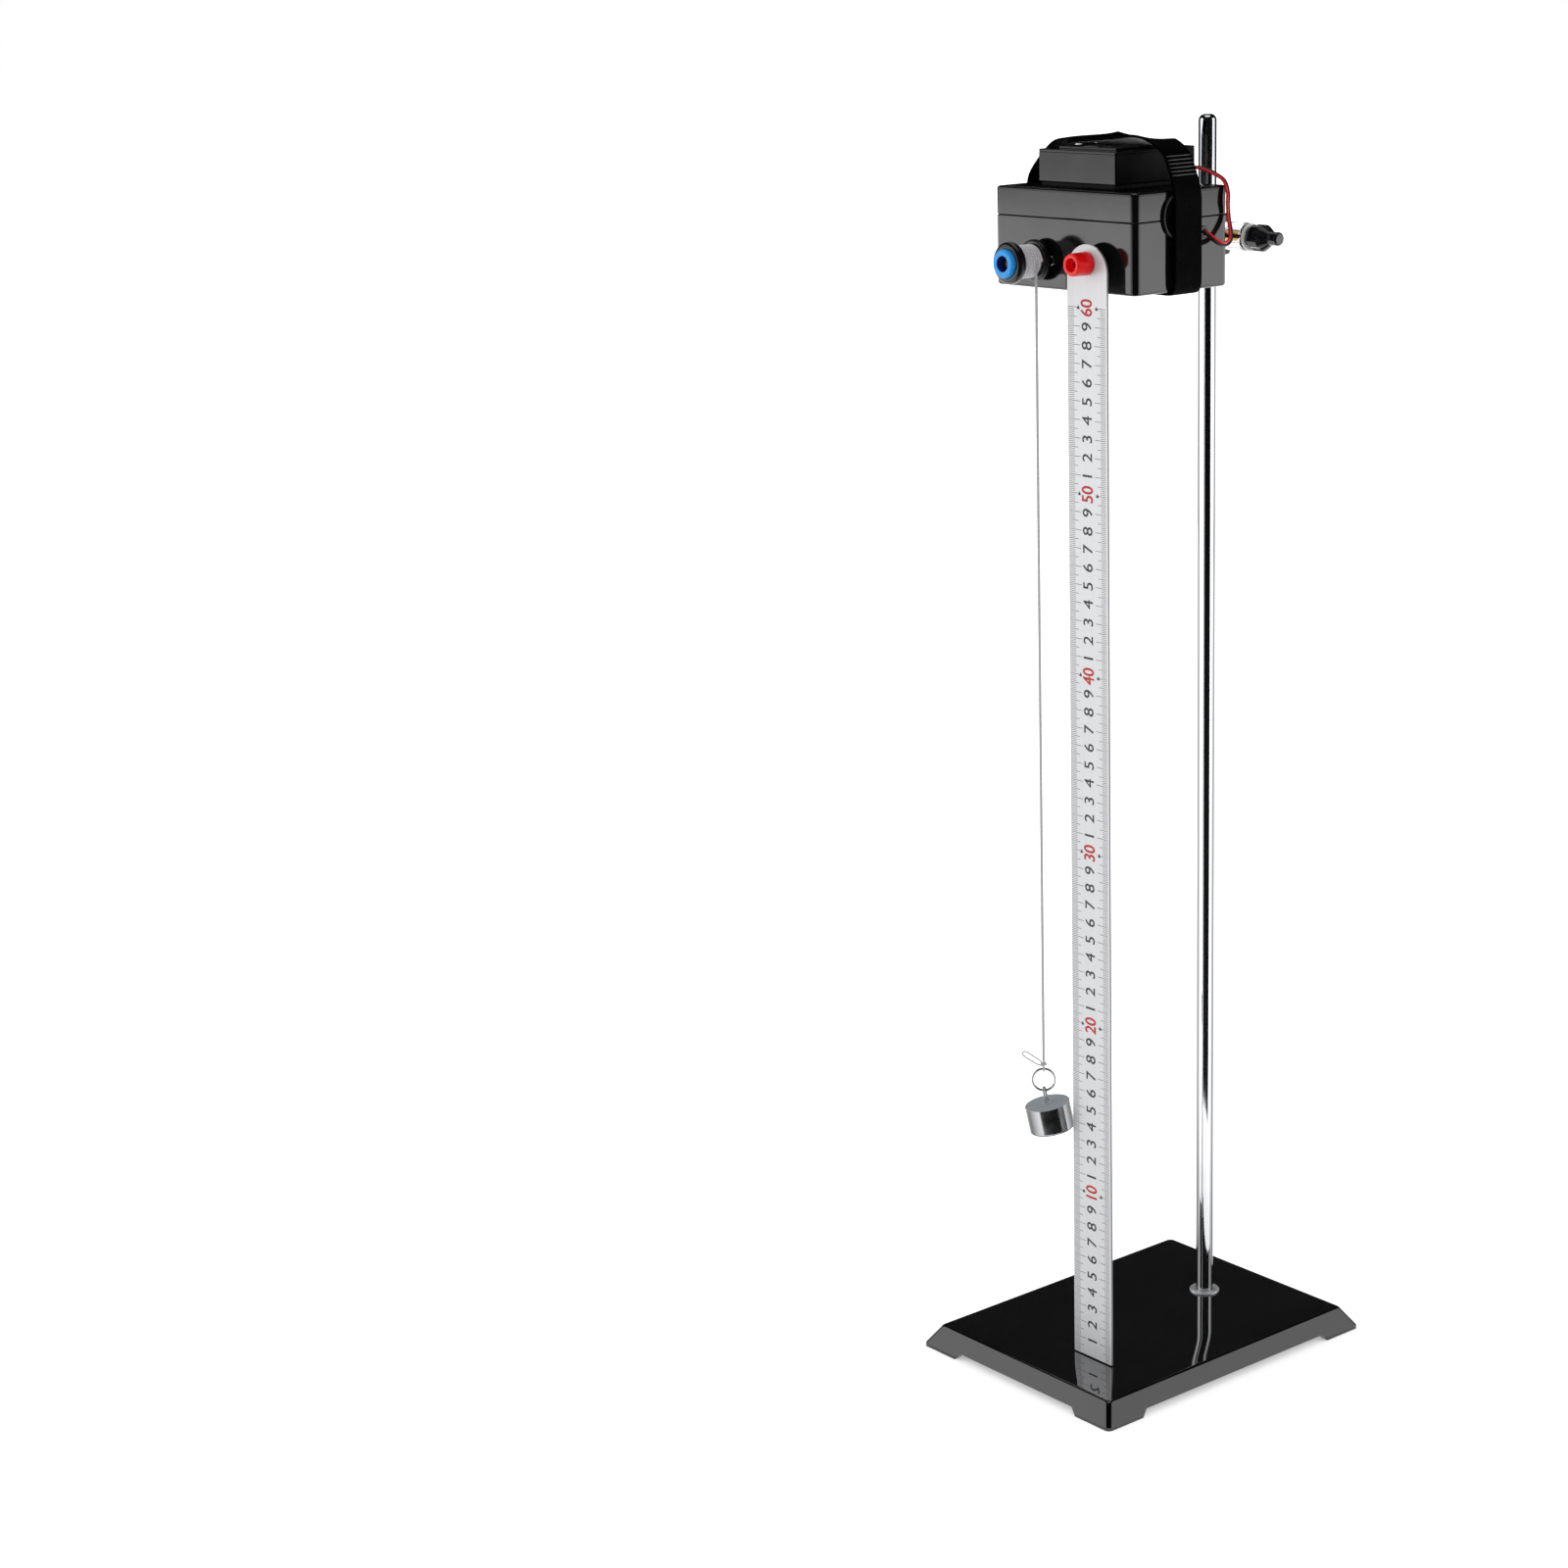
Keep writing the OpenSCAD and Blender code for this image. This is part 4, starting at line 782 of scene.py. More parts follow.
# Thread along the strap's folds: black with a silky glint
THREAD = Finish("black polyester thread", "#030303", "#070708", (0.32, 0.42), 0.5, specular=0.6)
# Foam under the battery case: dull black with open pores
FOAM = Finish("black foam rubber", "#0c0c0d", "#151516", (0.8, 0.92), 1.2, (0.08, 0.5))
# Insulation of the wires: plain red and black, half gloss
RED_PVC = Finish("red PVC insulation", "#c8081a", "#dc1426", (0.3, 0.42), 5)
BLACK_PVC = Finish("black PVC insulation", "#101011", "#18181a", (0.3, 0.42), 5)
# Receiver's board, relay cases and motor, all inside the box: green, blue, cream and dull silver
BOARD = Finish("green solder mask", "#1d5c33", "#27703f", (0.3, 0.45), 3)
RELAY = Finish("blue relay case", "#1c469a", "#2457a8", (0.25, 0.35), 6)
NYLON = Finish("cream nylon", "#dcd7c6", "#e9e4d6", (0.45, 0.55), 4)
CAN = Finish("satin motor can", "#a4a7ab", "#bcbfc3", (0.28, 0.4), 2, metallic=1.0)
# Wrap of the cells inside the battery case: coppery foil
CELL = Finish("printed cell wrap", "#a87a26", "#c09036", (0.25, 0.4), 6, metallic=0.6)
# Felt of the studio's dark cards: no shine at all
FELT = Finish("black felt", "#020202", "#030303", (0.95, 1.0), 20)

# CAD nodes that show as they are, by finish
CAD_NODES: dict[Finish, tuple[str, ...]] = {
    ZINC: (
        "base_washer", "base_nut", "lid_screws", "clamp_screws", "motor_screws", "board_screws",
        "battery_contacts", "ruler_post", "post_nut", "spool_shaft"),
    BRASS: ("gearbox", "shaft_bush", "thumb_stem"),
    BOARD: ("receiver_board", "terminal_block"),
    FLANGE: ("lead_grommet", "thumb_washer"),
    CLAMP_COAT: ("clamp_block",),
    CAN: ("motor_can",),
    NYLON: ("motor_end_cap",),
    RELAY: ("relays",),
    CELL: ("battery_cells",),
    RULER_STEEL: ("ruler_blade",),
    WHITE: ("spool_core",),
}


@dataclass
class Stand:
    """Base with its feet, the rod and the collar round its foot."""

    width: float = 155.0
    depth: float = 206.0
    height: float = 14.0
    inset: float = 7.5
    lip: float = 2.0
    wall: float = 4.0
    corner: float = 3.0
    foot: float = 27.0
    notch: float = 4.0
    notch_run: float = 4.0
    crown: float = 0.65
    crown_run: float = 15.0
    crown_r: float = 400.0
    boss_d: float = 28.0
    boss_z: float = 5.2
    inner_foot: float = 1.0
    tenon_d: float = 7.0
    tenon_z: float = 1.0
    rod_d: float = 10.0
    rod_top: float = 709.0
    rod_round: float = 3.5
    collar_d: float = 17.5
    collar_h: float = 1.25

    def build(self) -> None:
        """Make the base, rod and collar."""
        base = self.base().as_object("base", [BASE_ENAMEL, LIT_TOP_ENAMEL])
        settle(base, "stand", "black_enamel", "base_plate")
        axis = Axis((0, ROD_Y, 0), Facing.UP, "stand")
        low, pin, r = self.height, self.tenon_d / 2, self.rod_d / 2
        rod = rounded([
            (0, self.tenon_z, 0), (pin, self.tenon_z, 0), (pin, low, 0), (r, low, 0),
            (r, self.rod_top, self.rod_round), (0, self.rod_top, 0)], 10)
        axis.turn("rod", rod, [CHROME], "chrome_plate", "stand_rod", steps=128)
        hole, rim, high = r + GAP, self.collar_d / 2, low + self.collar_h
        ring = rounded([
            (hole, low + 1, 0), (hole, low, 0), (rim, low, 0.1), (rim, high, 0.85), (hole, high, 0.2),
            (hole, low + 1, 0)])
        # The collar takes the pale plate whose colour is painted light
        axis.turn("collar", ring, [PALE_LIT_PLATE], "chrome_plate", "rod_collar", steps=96)

    def base(self) -> Surface:
        """Shell of the base: lip, skirt and slightly crowned top, hollow below, with boss and ribs.

        Returns:
            Surface whose second finish lies on the top.
        """
        under, edge, out = self.height - self.wall, self.height - self.crown, self.inset
        inner = rounded([(self.wall + out, under, 0), (self.wall, self.inner_foot, 0.5), (self.wall, 0, 0)])
        outer = rounded([
            (0, 0, 0), (0, self.lip, 0.8), (out, edge, 2.6),
            (out + self.crown_run, self.height, self.crown_r), (out + 2 * self.crown_run, self.height, 0)])
        inside = self.notched(inner, self.inner_foot, under, self.wall)
        outside = self.notched(outer, self.lip, edge, 0)
        grid = np.concatenate([inside[:1] * [0, 0, 1], inside, outside, outside[-1:] * [0, 0, 1]])
        # Faces of the top take the enamel whose colour is lightened as painted light
        number = (grid[1:, :, 2].min(1) > edge - 0.05).astype(int)
        number[: len(inner) + 1] = 0
        bore, r, top = self.tenon_d / 2 + GAP, self.boss_d / 2, under + 1
        low, start = self.boss_z, (bore, under - 2, 0)
        boss = rounded([start, (bore, low, 0), (r, low, 0.6), (r, top, 0), (bore, top, 0), start])
        reach = self.depth / 2 - self.inset - self.wall
        rib = corners(np.array([[-1, 0], [1, 0]]) * self.width / 4, np.array([self.wall / 2, reach]))
        return Surface.joined([
            Surface.of_grid(grid, number[:, None]),
            Surface.of_grid(placed(lathe(boss), (0, ROD_Y, 0))),
            Surface.of_prisms(prisms(rib, rib, (low, top)))])

    def notched(self, profile: Array, start: float, end: float, foot: float) -> Array:
        """Profile carried round the base, its lower edge raised between the feet.

        A point lower than the notch over it moves up to the notch and in along the skirt's slope.

        Args:
            profile: inset and height of each point.
            start: height where the skirt's slope starts.
            end: height where it ends.
            foot: inset of the skirt below the slope.

        Returns:
            Grid of points, one row for each point of the profile.
        """
        half = np.array([self.width, self.depth]) / 2
        run, inset = half - self.foot, profile[:, :1]
        cuts = [[s * (r - k) for s in (-1, 1) for k in (0, self.notch_run)] for r in run]
        shell, rim = (
            rim_loft(rows, half, 0, self.corner, cuts, (False, False))
            for rows in (profile, np.zeros((1, 2))))
        flat, z = shell[..., :2], shell[..., 2]
        lift = np.clip((run - np.abs(rim[..., :2])) / self.notch_run, 0, 1).max(-1) * self.notch
        height = np.maximum(z, lift)
        need = np.where(lift > z, foot + np.maximum(height - start, 0) * self.inset / (end - start), 0)
        at_side = np.isclose(np.abs(flat), half - inset[:, None], atol=self.corner)
        step = np.where(at_side, np.maximum(need - inset, 0)[..., None], 0)
        return np.concatenate([flat - np.sign(flat) * step, height[..., None]], -1)


@dataclass
class MotorBox:
    """Box that holds the motor and receiver, with its screwed lid."""

    width: float = 108.0
    depth: float = 70.0
    middle_y: float = -22.0
    body_h: float = 38.0
    lid_h: float = 15.5
    seam: float = 0.3
    corner: float = 4.0
    edge: float = 1.6
    wall: float = 2.5
    screw_in: float = 5.9
    head_d: float = 6.2
    head_h: float = 2.5
    plate_in: float = 2.2

    def build(self) -> None:
        """Make the box and its lid."""
        half, wall, tall = (self.width / 2, self.depth / 2), self.wall, self.body_h
        body = rounded([
            (8, 0, 0), (0, 0, self.edge), (0, tall, 0.45), (wall, tall, 0.2), (wall, wall, 0.5),
            (9, wall, 0)], 8)
        lower, upper = Surface.of_grid(rim_loft(body, half, self.corner)), self.lid(half)
        for made, name, node in ((lower, "box_lower", "box_body"), (upper, "box_upper", "box_lid")):
            made.verts = placed(made.verts, (0, self.middle_y, BOX_FLOOR))
            settle(made.as_object(name, [GLOSS_ABS]), "head", "black_abs", node)

    def lid(self, half: Pair) -> Surface:
        """Lid: a hollow shell with rounded upper edge, and four counterbores for its screws.

        Args:
            half: half width and half depth.

        Returns:
            Surface of the lid, over the middle of the box's floor.
        """
        low, top, wall = self.body_h + self.seam, self.body_h + self.lid_h, self.wall
        rows = rounded([
            (9, top - wall, 0), (wall, top - wall, 0.5), (wall, low, 0.2), (0, low, 0.45),
            (0, top, self.edge), (self.plate_in, top, 0)], 8)
        shell = rim_loft(rows, half, self.corner, closed=(True, False))
        r, deep = self.head_d / 2, top - self.head_h
        well = lathe(rounded([(r, top, 0), (r, deep, 0), (0, deep, 0)], 2), 40)
        far = np.array(half) - self.screw_in
        spots = [far * [x, y] for x in (-1, 1) for y in (-1, 1)]
        plate = Surface.of_plate([shell[-1, :, :2], *(well[0, :, :2] + s for s in spots)], top)
        wells = [Surface.of_grid(placed(well, (*s, 0))) for s in spots]
        return Surface.joined([Surface.of_grid(shell), plate, *wells])


@dataclass
class BatteryPack:
    """Battery case on its foam pad, with the cover and its raised panel."""

    size: float = 59.5
    corner: float = 1.2
    base_z: float = 677.8
    middle_y: float = -17.0
    tray_h: float = 16.0
    tray_gap: float = 0.05
    cover_t: float = 1.5
    panel_in: float = 8.0
    pad_t: float = 2.5
    pad_in: float = 0.75
    wall: float = 1.2
    grooves: int = 5
    groove_in: float = 3.0
    groove_l: float = 12.0
    groove_w: float = 1.2

    def build(self) -> None:
        """Make the pad, the tray and the cover."""
        half, thick, wall, rim = self.size / 2, self.pad_t, self.wall, self.tray_h - self.tray_gap
        pad = rounded([(8, 0.05, 0), (0.4, 0, 0.5), (0, thick / 2, 1.6), (0.4, thick, 0.5), (8, thick, 0)])
        grid = placed(rim_loft(pad, [half - self.pad_in] * 2, 2), (0, self.middle_y, self.base_z - thick))
        piece = Surface.of_grid(grid).as_object("foam_pad", [FOAM])
        settle(piece, "head", "black_pad", "battery_pad")
        tray = rounded([
            (8, 0, 0), (0, 0, 0.7), (0, rim, 0.25), (wall, rim, 0), (wall, wall, 0.3), (8, wall, 0)])
        lower, upper = Surface.of_grid(rim_loft(tray, [half] * 2, self.corner)), self.cover(half)
        names = (("battery_tray", "battery_case"), ("battery_lid", "battery_cover"))
        for made, (name, node) in zip((lower, upper), names):
            made.verts = placed(made.verts, (0, self.middle_y, self.base_z))
            # The faces along X take the painted shade of the case's sides
            settle(made.faced(0, 1).as_object(name, [CASE_ABS, SHADED_CASE_SIDE]), "head", "case_plastic", node)

    def cover(self, half: float) -> Surface:
        """Cover with a raised panel, and a row of grip ridges on the panel.

        Args:
            half: half width and half depth.

        Returns:
            Surface of the cover, over the middle of the case's floor.
        """
        low, top, inset = self.tray_h, self.tray_h + self.cover_t, self.panel_in
        panel = top + PANEL_T
        rows = rounded([
            (9, low, 0), (0, low, 0.25), (0, top, 0.6), (inset, top, 0.3), (inset, panel, 0.4),
            (20, panel, 0)])
        y = inset - half + self.groove_in + 2 * self.groove_w * np.arange(self.grooves)
        middle, size = np.stack([0 * y, y], -1), np.array([self.groove_l / 2, self.groove_w / 2.4])
        ridges = prisms(corners(middle, size), corners(middle, 0.96 * size), (panel - 0.2, panel + 0.28))
        shell = rim_loft(rows, [half] * 2, self.corner)
        return Surface.joined([Surface.of_grid(shell), Surface.of_prisms(ridges)])


@dataclass
class Strap:
    """Webbing strap that holds the battery case on the box, its end lapped over its start.

    The route gives places across the box and heights over its floor.
    """

    middle_y: float = -21.0
    width: float = 20.0
    thick: float = 1.6
    lap: float = 1.8
    cover_z: float = 75.6
    panel_half: float = 21.75
    lean_right: float = 38.0
    lean_left: float = 48.0
    lean_fade: float = 7.0
    ribs: int = 11
    rib_depth: float = 0.09
    selvedge: float = 0.94
    columns: int = 61
    steps: int = 8
    pile_spans: int = 6
    folds: int = 6
    fold_span: int = 5
    fold_from: float = 17.0
    fold_pitch: float = 2.1
    fold_r: float = 0.45
    route: tuple[Pair, ...] = (
        (-23.75, 76.4), (-14.875, 77.4), (0, 78.6), (13.875, 79.8), (25.75, 81), (35.5, 79.4), (47.8, 72.6),
        (53.2, 62.5), (56.8, 51.5), (57.2, 41.5), (57.2, 22), (57.2, 8), (56.7, 2.2), (54.75, -0.4),
        (52.4, -1.05), (45, -1.05), (0, -1.05), (-45, -1.05), (-52.4, -1.05), (-54.6, -0.4), (-55.05, 1.9),
        (-55.05, 8), (-55.05, 20), (-55.05, 45.5), (-55.25, 54), (-52.05, 60.5), (-40.25, 72.2),
        (-33.25, 76.6), (-23.75, 78.2), (-14.875, 79.2), (0, 80.4), (8, 81.2), (15, 82.4))

    def build(self) -> None:
        """Make the strap, with loop pile inside its arch lightened as a painted highlight, and the folds over
        its shoulder.
        """
        path = spline(self.route, self.steps)
        along = unit(np.gradient(path, axis=0))
        out = np.stack([-along[:, 1], along[:, 0]], -1)
        grid = self.web(path, out)
        number = np.zeros((len(grid) - 1, grid.shape[1]), int)
        # Loop pile on the inner face under the arch, lightened as a painted highlight
        number[2 : self.pile_spans * self.steps, self.columns + 3 : 2 * self.columns - 4] = 1
        web = Surface.of_grid(grid, number).as_object("webbing_strap", [WEBBING, PILE_AND_HIGHLIGHT])
        settle(web, "head", "black_webbing", "strap")
        folds = self.gathers(path, path + out * self.thick / 2).as_object("strap_gathers", [THREAD], 80)
        settle(folds, "head", "black_webbing")

    def web(self, path: Array, out: Array) -> Array:
        """Flat section with rounded selvedges and lengthwise ribs, carried along the path.

        Over the battery case its front edge stays up and its rear edge dips to what lies under it.

        Args:
            path: points along the strap's middle.
            out: direction square to the path at each point.

        Returns:
            Grid of points, the ends drawn in to the middle.
        """
        v = np.linspace(-1, 1, self.columns)
        wave = 0.5 + 0.5 * np.cos(v * np.pi * self.ribs)
        rib = 1 - self.rib_depth * wave * (np.abs(v) < self.selvedge + 0.01)
        bend = np.clip((np.abs(v) - self.selvedge) / (1 - self.selvedge), 0, 1)
        half = self.thick / 2 * np.sqrt(np.clip(1 - bend**2, 0, 1)) * rib
        across = np.concatenate([v, v[-2:0:-1]]) * self.width / 2
        flat = path[:, None] + out[:, None] * np.concatenate([half, -half[-2:0:-1]])[None, :, None]
        x, late = path[:, 0], np.arange(len(path)) > len(path) / 2
        rest = self.cover_z - PANEL_T * np.clip((np.abs(x) - self.panel_half) / 3, 0, 1)
        rest = rest + late * self.lap * np.clip((x - self.route[0][0] + 4) / 4, 0, 1)
        reach = np.where(x < 0, self.lean_left, self.lean_right) - np.abs(x)
        over = np.clip(reach / self.lean_fade, 0, 1) * (path[:, 1] > self.cover_z - 4)
        dip = (over * np.clip(path[:, 1] - rest, 0, None))[:, None] * (0.5 + across / self.width)[None]
        y = np.broadcast_to(self.middle_y + across, flat.shape[:2])
        grid = np.stack([flat[..., 0], y, BOX_FLOOR + flat[..., 1] - dip], -1)
        ends = [0 * row + row.mean(1, keepdims=True) for row in (grid[:1], grid[-1:])]
        return np.concatenate([ends[0], grid, ends[1]])

    def gathers(self, path: Array, face: Array) -> Surface:
        """Folds across the strap where it bends over the shoulder: thin tubes half sunk in its outer face.

        Args:
            path: points along the strap's middle.
            face: points beside them on its outer face.

        Returns:
            Surface of all folds.
        """
        run = distance(path)
        at = run[self.steps * self.fold_span] + self.fold_from + self.fold_pitch * np.arange(self.folds)
        x, z = (np.interp(at, run, face[:, k])[:, None] for k in (0, 1))
        y = self.middle_y + np.linspace(-self.selvedge, self.selvedge, 9) * self.width / 2
        radius = self.fold_r * np.array([0.3, 0.8, 1, 1, 1, 1, 1, 0.8, 0.3])
        lines = np.stack(np.broadcast_arrays(x, y, BOX_FLOOR + z), -1)
        return Surface.joined([Surface.of_grid(tube(line, radius, 8)) for line in lines])


@dataclass
class Wiring:
    """Battery leads and the receiver's aerial wire, on routes from box middle, front and floor."""

    lead_d: float = 1.5
    pitch: float = 1.65
    lead_route: tuple[Point, ...] = (
        (28.6, 63.5, 62.5), (34, 63.5, 62.5), (41, 64.2, 61.9), (48, 65.8, 59.3), (54, 66.6, 55.9),
        (56.6, 66.8, 49.5), (56.8, 66.6, 44), (56.5, 67.4, 37.4), (61.2, 64.2, 26.1), (62.4, 58.6, 23.4),
        (61.4, 53.2, 25.3), (58.7, 50.9, 28.4), (55.6, 50.5, 30), (51.6, 50.5, 30))
    aerial_route: tuple[Point, ...] = (
        (50.5, 35.6, 28.6), (52.6, 34.6, 28.6), (54.2, 32.4, 28.7), (54.9, 29, 28.9), (54.9, 25.2, 30.2),
        (54.9, 21.8, 34), (54.9, 20.4, 39.5), (54.9, 21.4, 44.8), (54.9, 24.6, 49), (54.9, 28.4, 50.8),
        (54.9, 33, 51))

    def build(self) -> None:
        """Make the three wires: each lead lies beside the pair's route by half the pitch."""
        path = spline(self.lead_route, 4)
        across = unit(np.cross(unit(np.gradient(path, axis=0)), [1, 0.02, 0.3])) + [0.2, 0, 0]
        beside = self.pitch / 2 * across
        self.wire("lead_positive", path + beside, RED_PVC, "red_wire", "lead_red")
        self.wire("lead_negative", path - beside, BLACK_PVC, "black_wire", "lead_black")
        self.wire("aerial", spline(self.aerial_route, 4), BLACK_PVC, "black_wire", "aerial_wire")

    def wire(self, name: str, route: Array, finish: Finish, slot: str, node: str) -> None:
        """Args:
            name: name of the piece.
            route: points along it.
            finish: finish of its insulation.
            slot: name of a material slot, passed on to settle.
            node: CAD node that it replaces.
        """
        path = route + [0, BOX_FRONT, BOX_FLOOR]
        piece = Surface.of_grid(tube(path, self.lead_d / 2, 14)).as_object(name, [finish], 60)
        settle(piece, "head", slot, node)


@dataclass
class Ruler:
    """Printed scale on the front of the ruler's blade: zero at its foot, centimetres up to sixty.

    A type is the height of its figures, their breadth as a share of the usual one and how much bolder
    their outline is.
    """

    middle_x: float = 25.0
    face_y: float = -63.9
    foot_z: float = 14.8
    width: float = 30.0
    length: int = 600
    ink: float = 0.03
    sunk: float = 0.01
    edges: Pair = (0.4, 1.3)
    reaches: Point = (9.5, 7.4, 5.1)
    lines: Pair = (0.16, 0.13)
    pointers: Pair = (-6.6, 7.2)
    pointer: tuple[Pair, ...] = ((-1.1, -1.0), (0, -1.0), (1.1, -1.0), (0, 1.3))
    ones_type: Point = (7.5, 1.0, 0.1)
    tens_type: Point = (8.6, 0.8, 0.2)
    em: float = 1.38

    def build(self) -> None:
        """Make the ticks, the pointers beside the tens and the numerals."""
        last = self.length // 10
        ones, tens = [n for n in range(1, last + 1) if n % 10], list(range(10, last + 1, 10))
        for piece in (
            self.ticks().as_object("scale_ticks", [GREY_INK, BLACK_INK]),
            self.numerals(ones, self.ones_type, BLACK_INK, "scale_numbers"),
            self.numerals(tens, self.tens_type, RED_INK, "scale_tens"),
        ):
            settle(piece, "ruler", "ruler_steel")

    def inked(self, flat: Array, finish: int) -> Surface:
        """Flat outlines on the face given the ink's thickness."""
        blocks = prisms(flat, flat, (-self.sunk, self.ink - self.sunk))
        zero = (self.middle_x, self.face_y, self.foot_z)
        return Surface.of_prisms(placed(blocks, zero, Facing.FRONT), finish)

    def ticks(self) -> Surface:
        """Lines from both edges at each millimetre, longer at fives and tens, and pointers at the tens.

        Returns:
            Surface whose second finish lies on the pointers.
        """
        mm = np.arange(1, self.length + 1)
        ten, five, one = self.reaches
        reach = np.where(mm % 10 == 0, ten, np.where(mm % 5 == 0, five, one))
        thick = np.where(mm % 5 == 0, *self.lines)
        half = self.width / 2
        spans = ((self.edges[0] - half, reach - half), (half - reach, half - self.edges[1]))
        bars = [
            corners(np.stack([(a + b) / 2, mm], -1), np.stack([(b - a) / 2, thick], -1)) for a, b in spans]
        spots = np.array([(x, z) for x in self.pointers for z in range(100, self.length + 1, 100)])
        marks = spots[:, None] + np.array(self.pointer)
        return Surface.joined([self.inked(np.concatenate(bars), 0), self.inked(marks, 1)])

    def numerals(self, values: Sequence[int], size: Point, finish: Finish, name: str) -> Object:
        """Centimetre numbers that read upwards, each centred on its tick.

        Args:
            values: centimetres to write.
            size: type of the numbers.
            finish: ink.
            name: name of the piece.

        Returns:
            One object of all numbers.
        """
        high, broad, bolder = size
        upwards = Matrix(((0, -1, 0), (0, 0, -1), (broad, 0, 0))).to_4x4()
        work = bmesh.new()
        for value in values:
            curve = bpy.data.curves.new("type", "FONT")
            curve.body = str(value % 10 or value)
            curve.size = high * self.em * MM
            curve.align_x = curve.align_y = "CENTER"
            curve.extrude = self.ink / 2 * MM
            holder = bpy.data.objects.new("type", curve)
            mesh = bpy.data.meshes.new_from_object(holder)
            spot = (self.middle_x, self.face_y + (self.sunk - self.ink) / 2, self.foot_z + 10 * value)
            mesh.transform(Matrix.Translation(Vector(spot) * MM) @ upwards)
            work.from_mesh(mesh)
            bpy.data.objects.remove(holder)
            bpy.data.curves.remove(curve)
            bpy.data.meshes.remove(mesh)
        bmesh.ops.remove_doubles(work, verts=work.verts, dist=1e-7)
        made = bpy.data.meshes.new(name)
        work.to_mesh(made)
        work.free()
        self.embolden(made, bolder * MM)
        return dressed_object(made, name, [finish])

    def embolden(self, mesh: Mesh, grow: float) -> None:
        """Move the outlines of raised type outwards: each point by the sum of the two walls that meet there.

        Args:
            mesh: type that stands on the face.
            grow: distance that each wall moves, in metres.
        """
        corner, sides = np.empty(len(mesh.loops), int), np.empty(len(mesh.polygons), int)
        mesh.loops.foreach_get("vertex_index", corner)
        mesh.polygons.foreach_get("loop_total", sides)
        normal, place = np.empty((len(mesh.polygons), 3)), np.empty((len(mesh.vertices), 3))
        mesh.polygons.foreach_get("normal", normal.reshape(-1))
        mesh.vertices.foreach_get("co", place.reshape(-1))
        wall = normal * (np.abs(normal[:, 1:2]) < 0.5)
        out = np.zeros(place.shape)
        np.add.at(out, corner, np.repeat(wall, sides, axis=0))
        size = np.maximum((out**2).sum(1, keepdims=True), 1.0)
        mesh.vertices.foreach_set("co", (place + 2 * grow * out / size).reshape(-1))
        mesh.update()


@dataclass
class RulerKnob:
    """Red knob on the ruler's stud, with a socket in its front."""

    x: float = 25.0
    z: float = 638.3
    back_y: float = -64.1
    foot_d: float = 12.8
    foot_l: float = 2.2
    front_d: float = 12.0
    length: float = 11.6
    socket_d: float = 7.4
    socket: float = 3.5
    bore_d: float = 4.1
    grip_depth: float = 0.07

    def build(self) -> None:
        """Make the knob: a turned profile with six shallow grips."""
        f, r, s, b = self.foot_d / 2, self.front_d / 2, self.socket_d / 2, self.bore_d / 2
        full, deep = self.length, self.length - self.socket
        rows = rounded([
            (b, 4, 0), (b, 0, 0.1), (f, 0, 0.7), (f - 0.15, self.foot_l, 0.5), (r, full, 0.9), (s, full, 0.5),
            (s - 0.5, deep, 0.4), (b, deep, 0.1), (b, 4, 0)])
        axis = Axis((self.x, self.back_y, self.z), Facing.FRONT, "ruler_knob")
        axis.turn("red_knob", rows, [RED], "red_knob", "ruler_knob", steps=144, grip=self.grip)

    def grip(self, angle: Array, height: Array) -> Array:
        """Factor on the radius: six narrow hollows, faded out at the foot and at the front."""
        fade = np.clip((height - self.foot_l) / 1.5, 0, 1) * np.clip((self.length + 0.6 - height) / 2, 0, 1)
        return 1 - self.grip_depth * fade * np.cos(3 * angle) ** 8


@dataclass
class ThumbScrew:
    """Clamp's thumb screw: clear sleeve, white ring and smoky knob on a brass stem."""

    z: float = 643.3
    sleeve_x: float = 14.9
    sleeve_l: float = 17.0
    sleeve_d: float = 15.5
    band_x: float = 32.0
    band_t: float = 1.6
    band_d: float = 15.0
    knob_x: float = 33.7
    knob_l: float = 20.5
    foot_d: float = 12.4
    foot_l: float = 3.0
    knob_d: float = 15.0
    tip_d: float = 7.5
    flutes: int = 5
    flute_depth: float = 0.11
    bore_d: float = 6.2
    bore_l: float = 13.5

    def build(self) -> None:
        """Make the sleeve, ring and knob along +X."""
        axis = Axis((0, ROD_Y, self.z), Facing.RIGHT, "thumb_screw")
        b, r, tip, full = self.bore_d / 2, self.knob_d / 2, self.tip_d / 2, self.knob_l
        sleeve = bored(b, self.sleeve_d / 2, self.sleeve_l, 1.2, 2.0)
        axis.turn("clear_sleeve", sleeve, [ACRYLIC], "clear_acrylic", "thumb_sleeve", self.sleeve_x)
        band = bored(b, self.band_d / 2, self.band_t, 0.4, 0.4)
        axis.turn("white_ring", band, [WHITE], "white_plastic", "thumb_band", self.band_x)
        rows = rounded([
            (b, 5, 0), (b, 0, 0.2), (self.foot_d / 2, 0, 0.4), (r, self.foot_l, 1.2), (r, full * 0.45, 2.0),
            (tip, full * 0.72, 2.0), (tip, full, 1.2), (0, full, 0)], 8)
        hollow = np.concatenate([[(0, self.bore_l), (b, self.bore_l)], rows])
        axis.turn("smoky_knob", hollow, [SMOKE], "black_knob", "thumb_knob", self.knob_x, grip=self.grip)

    def grip(self, angle: Array, height: Array) -> Array:
        """Factor on the radius: flutes as the cube of a raised cosine, faded out towards the tip."""
        wave = (0.5 - 0.5 * np.cos(self.flutes * angle)) ** 3
        return 1 - self.flute_depth * wave * np.clip((self.knob_l * 0.75 - height) / 6, 0, 1)


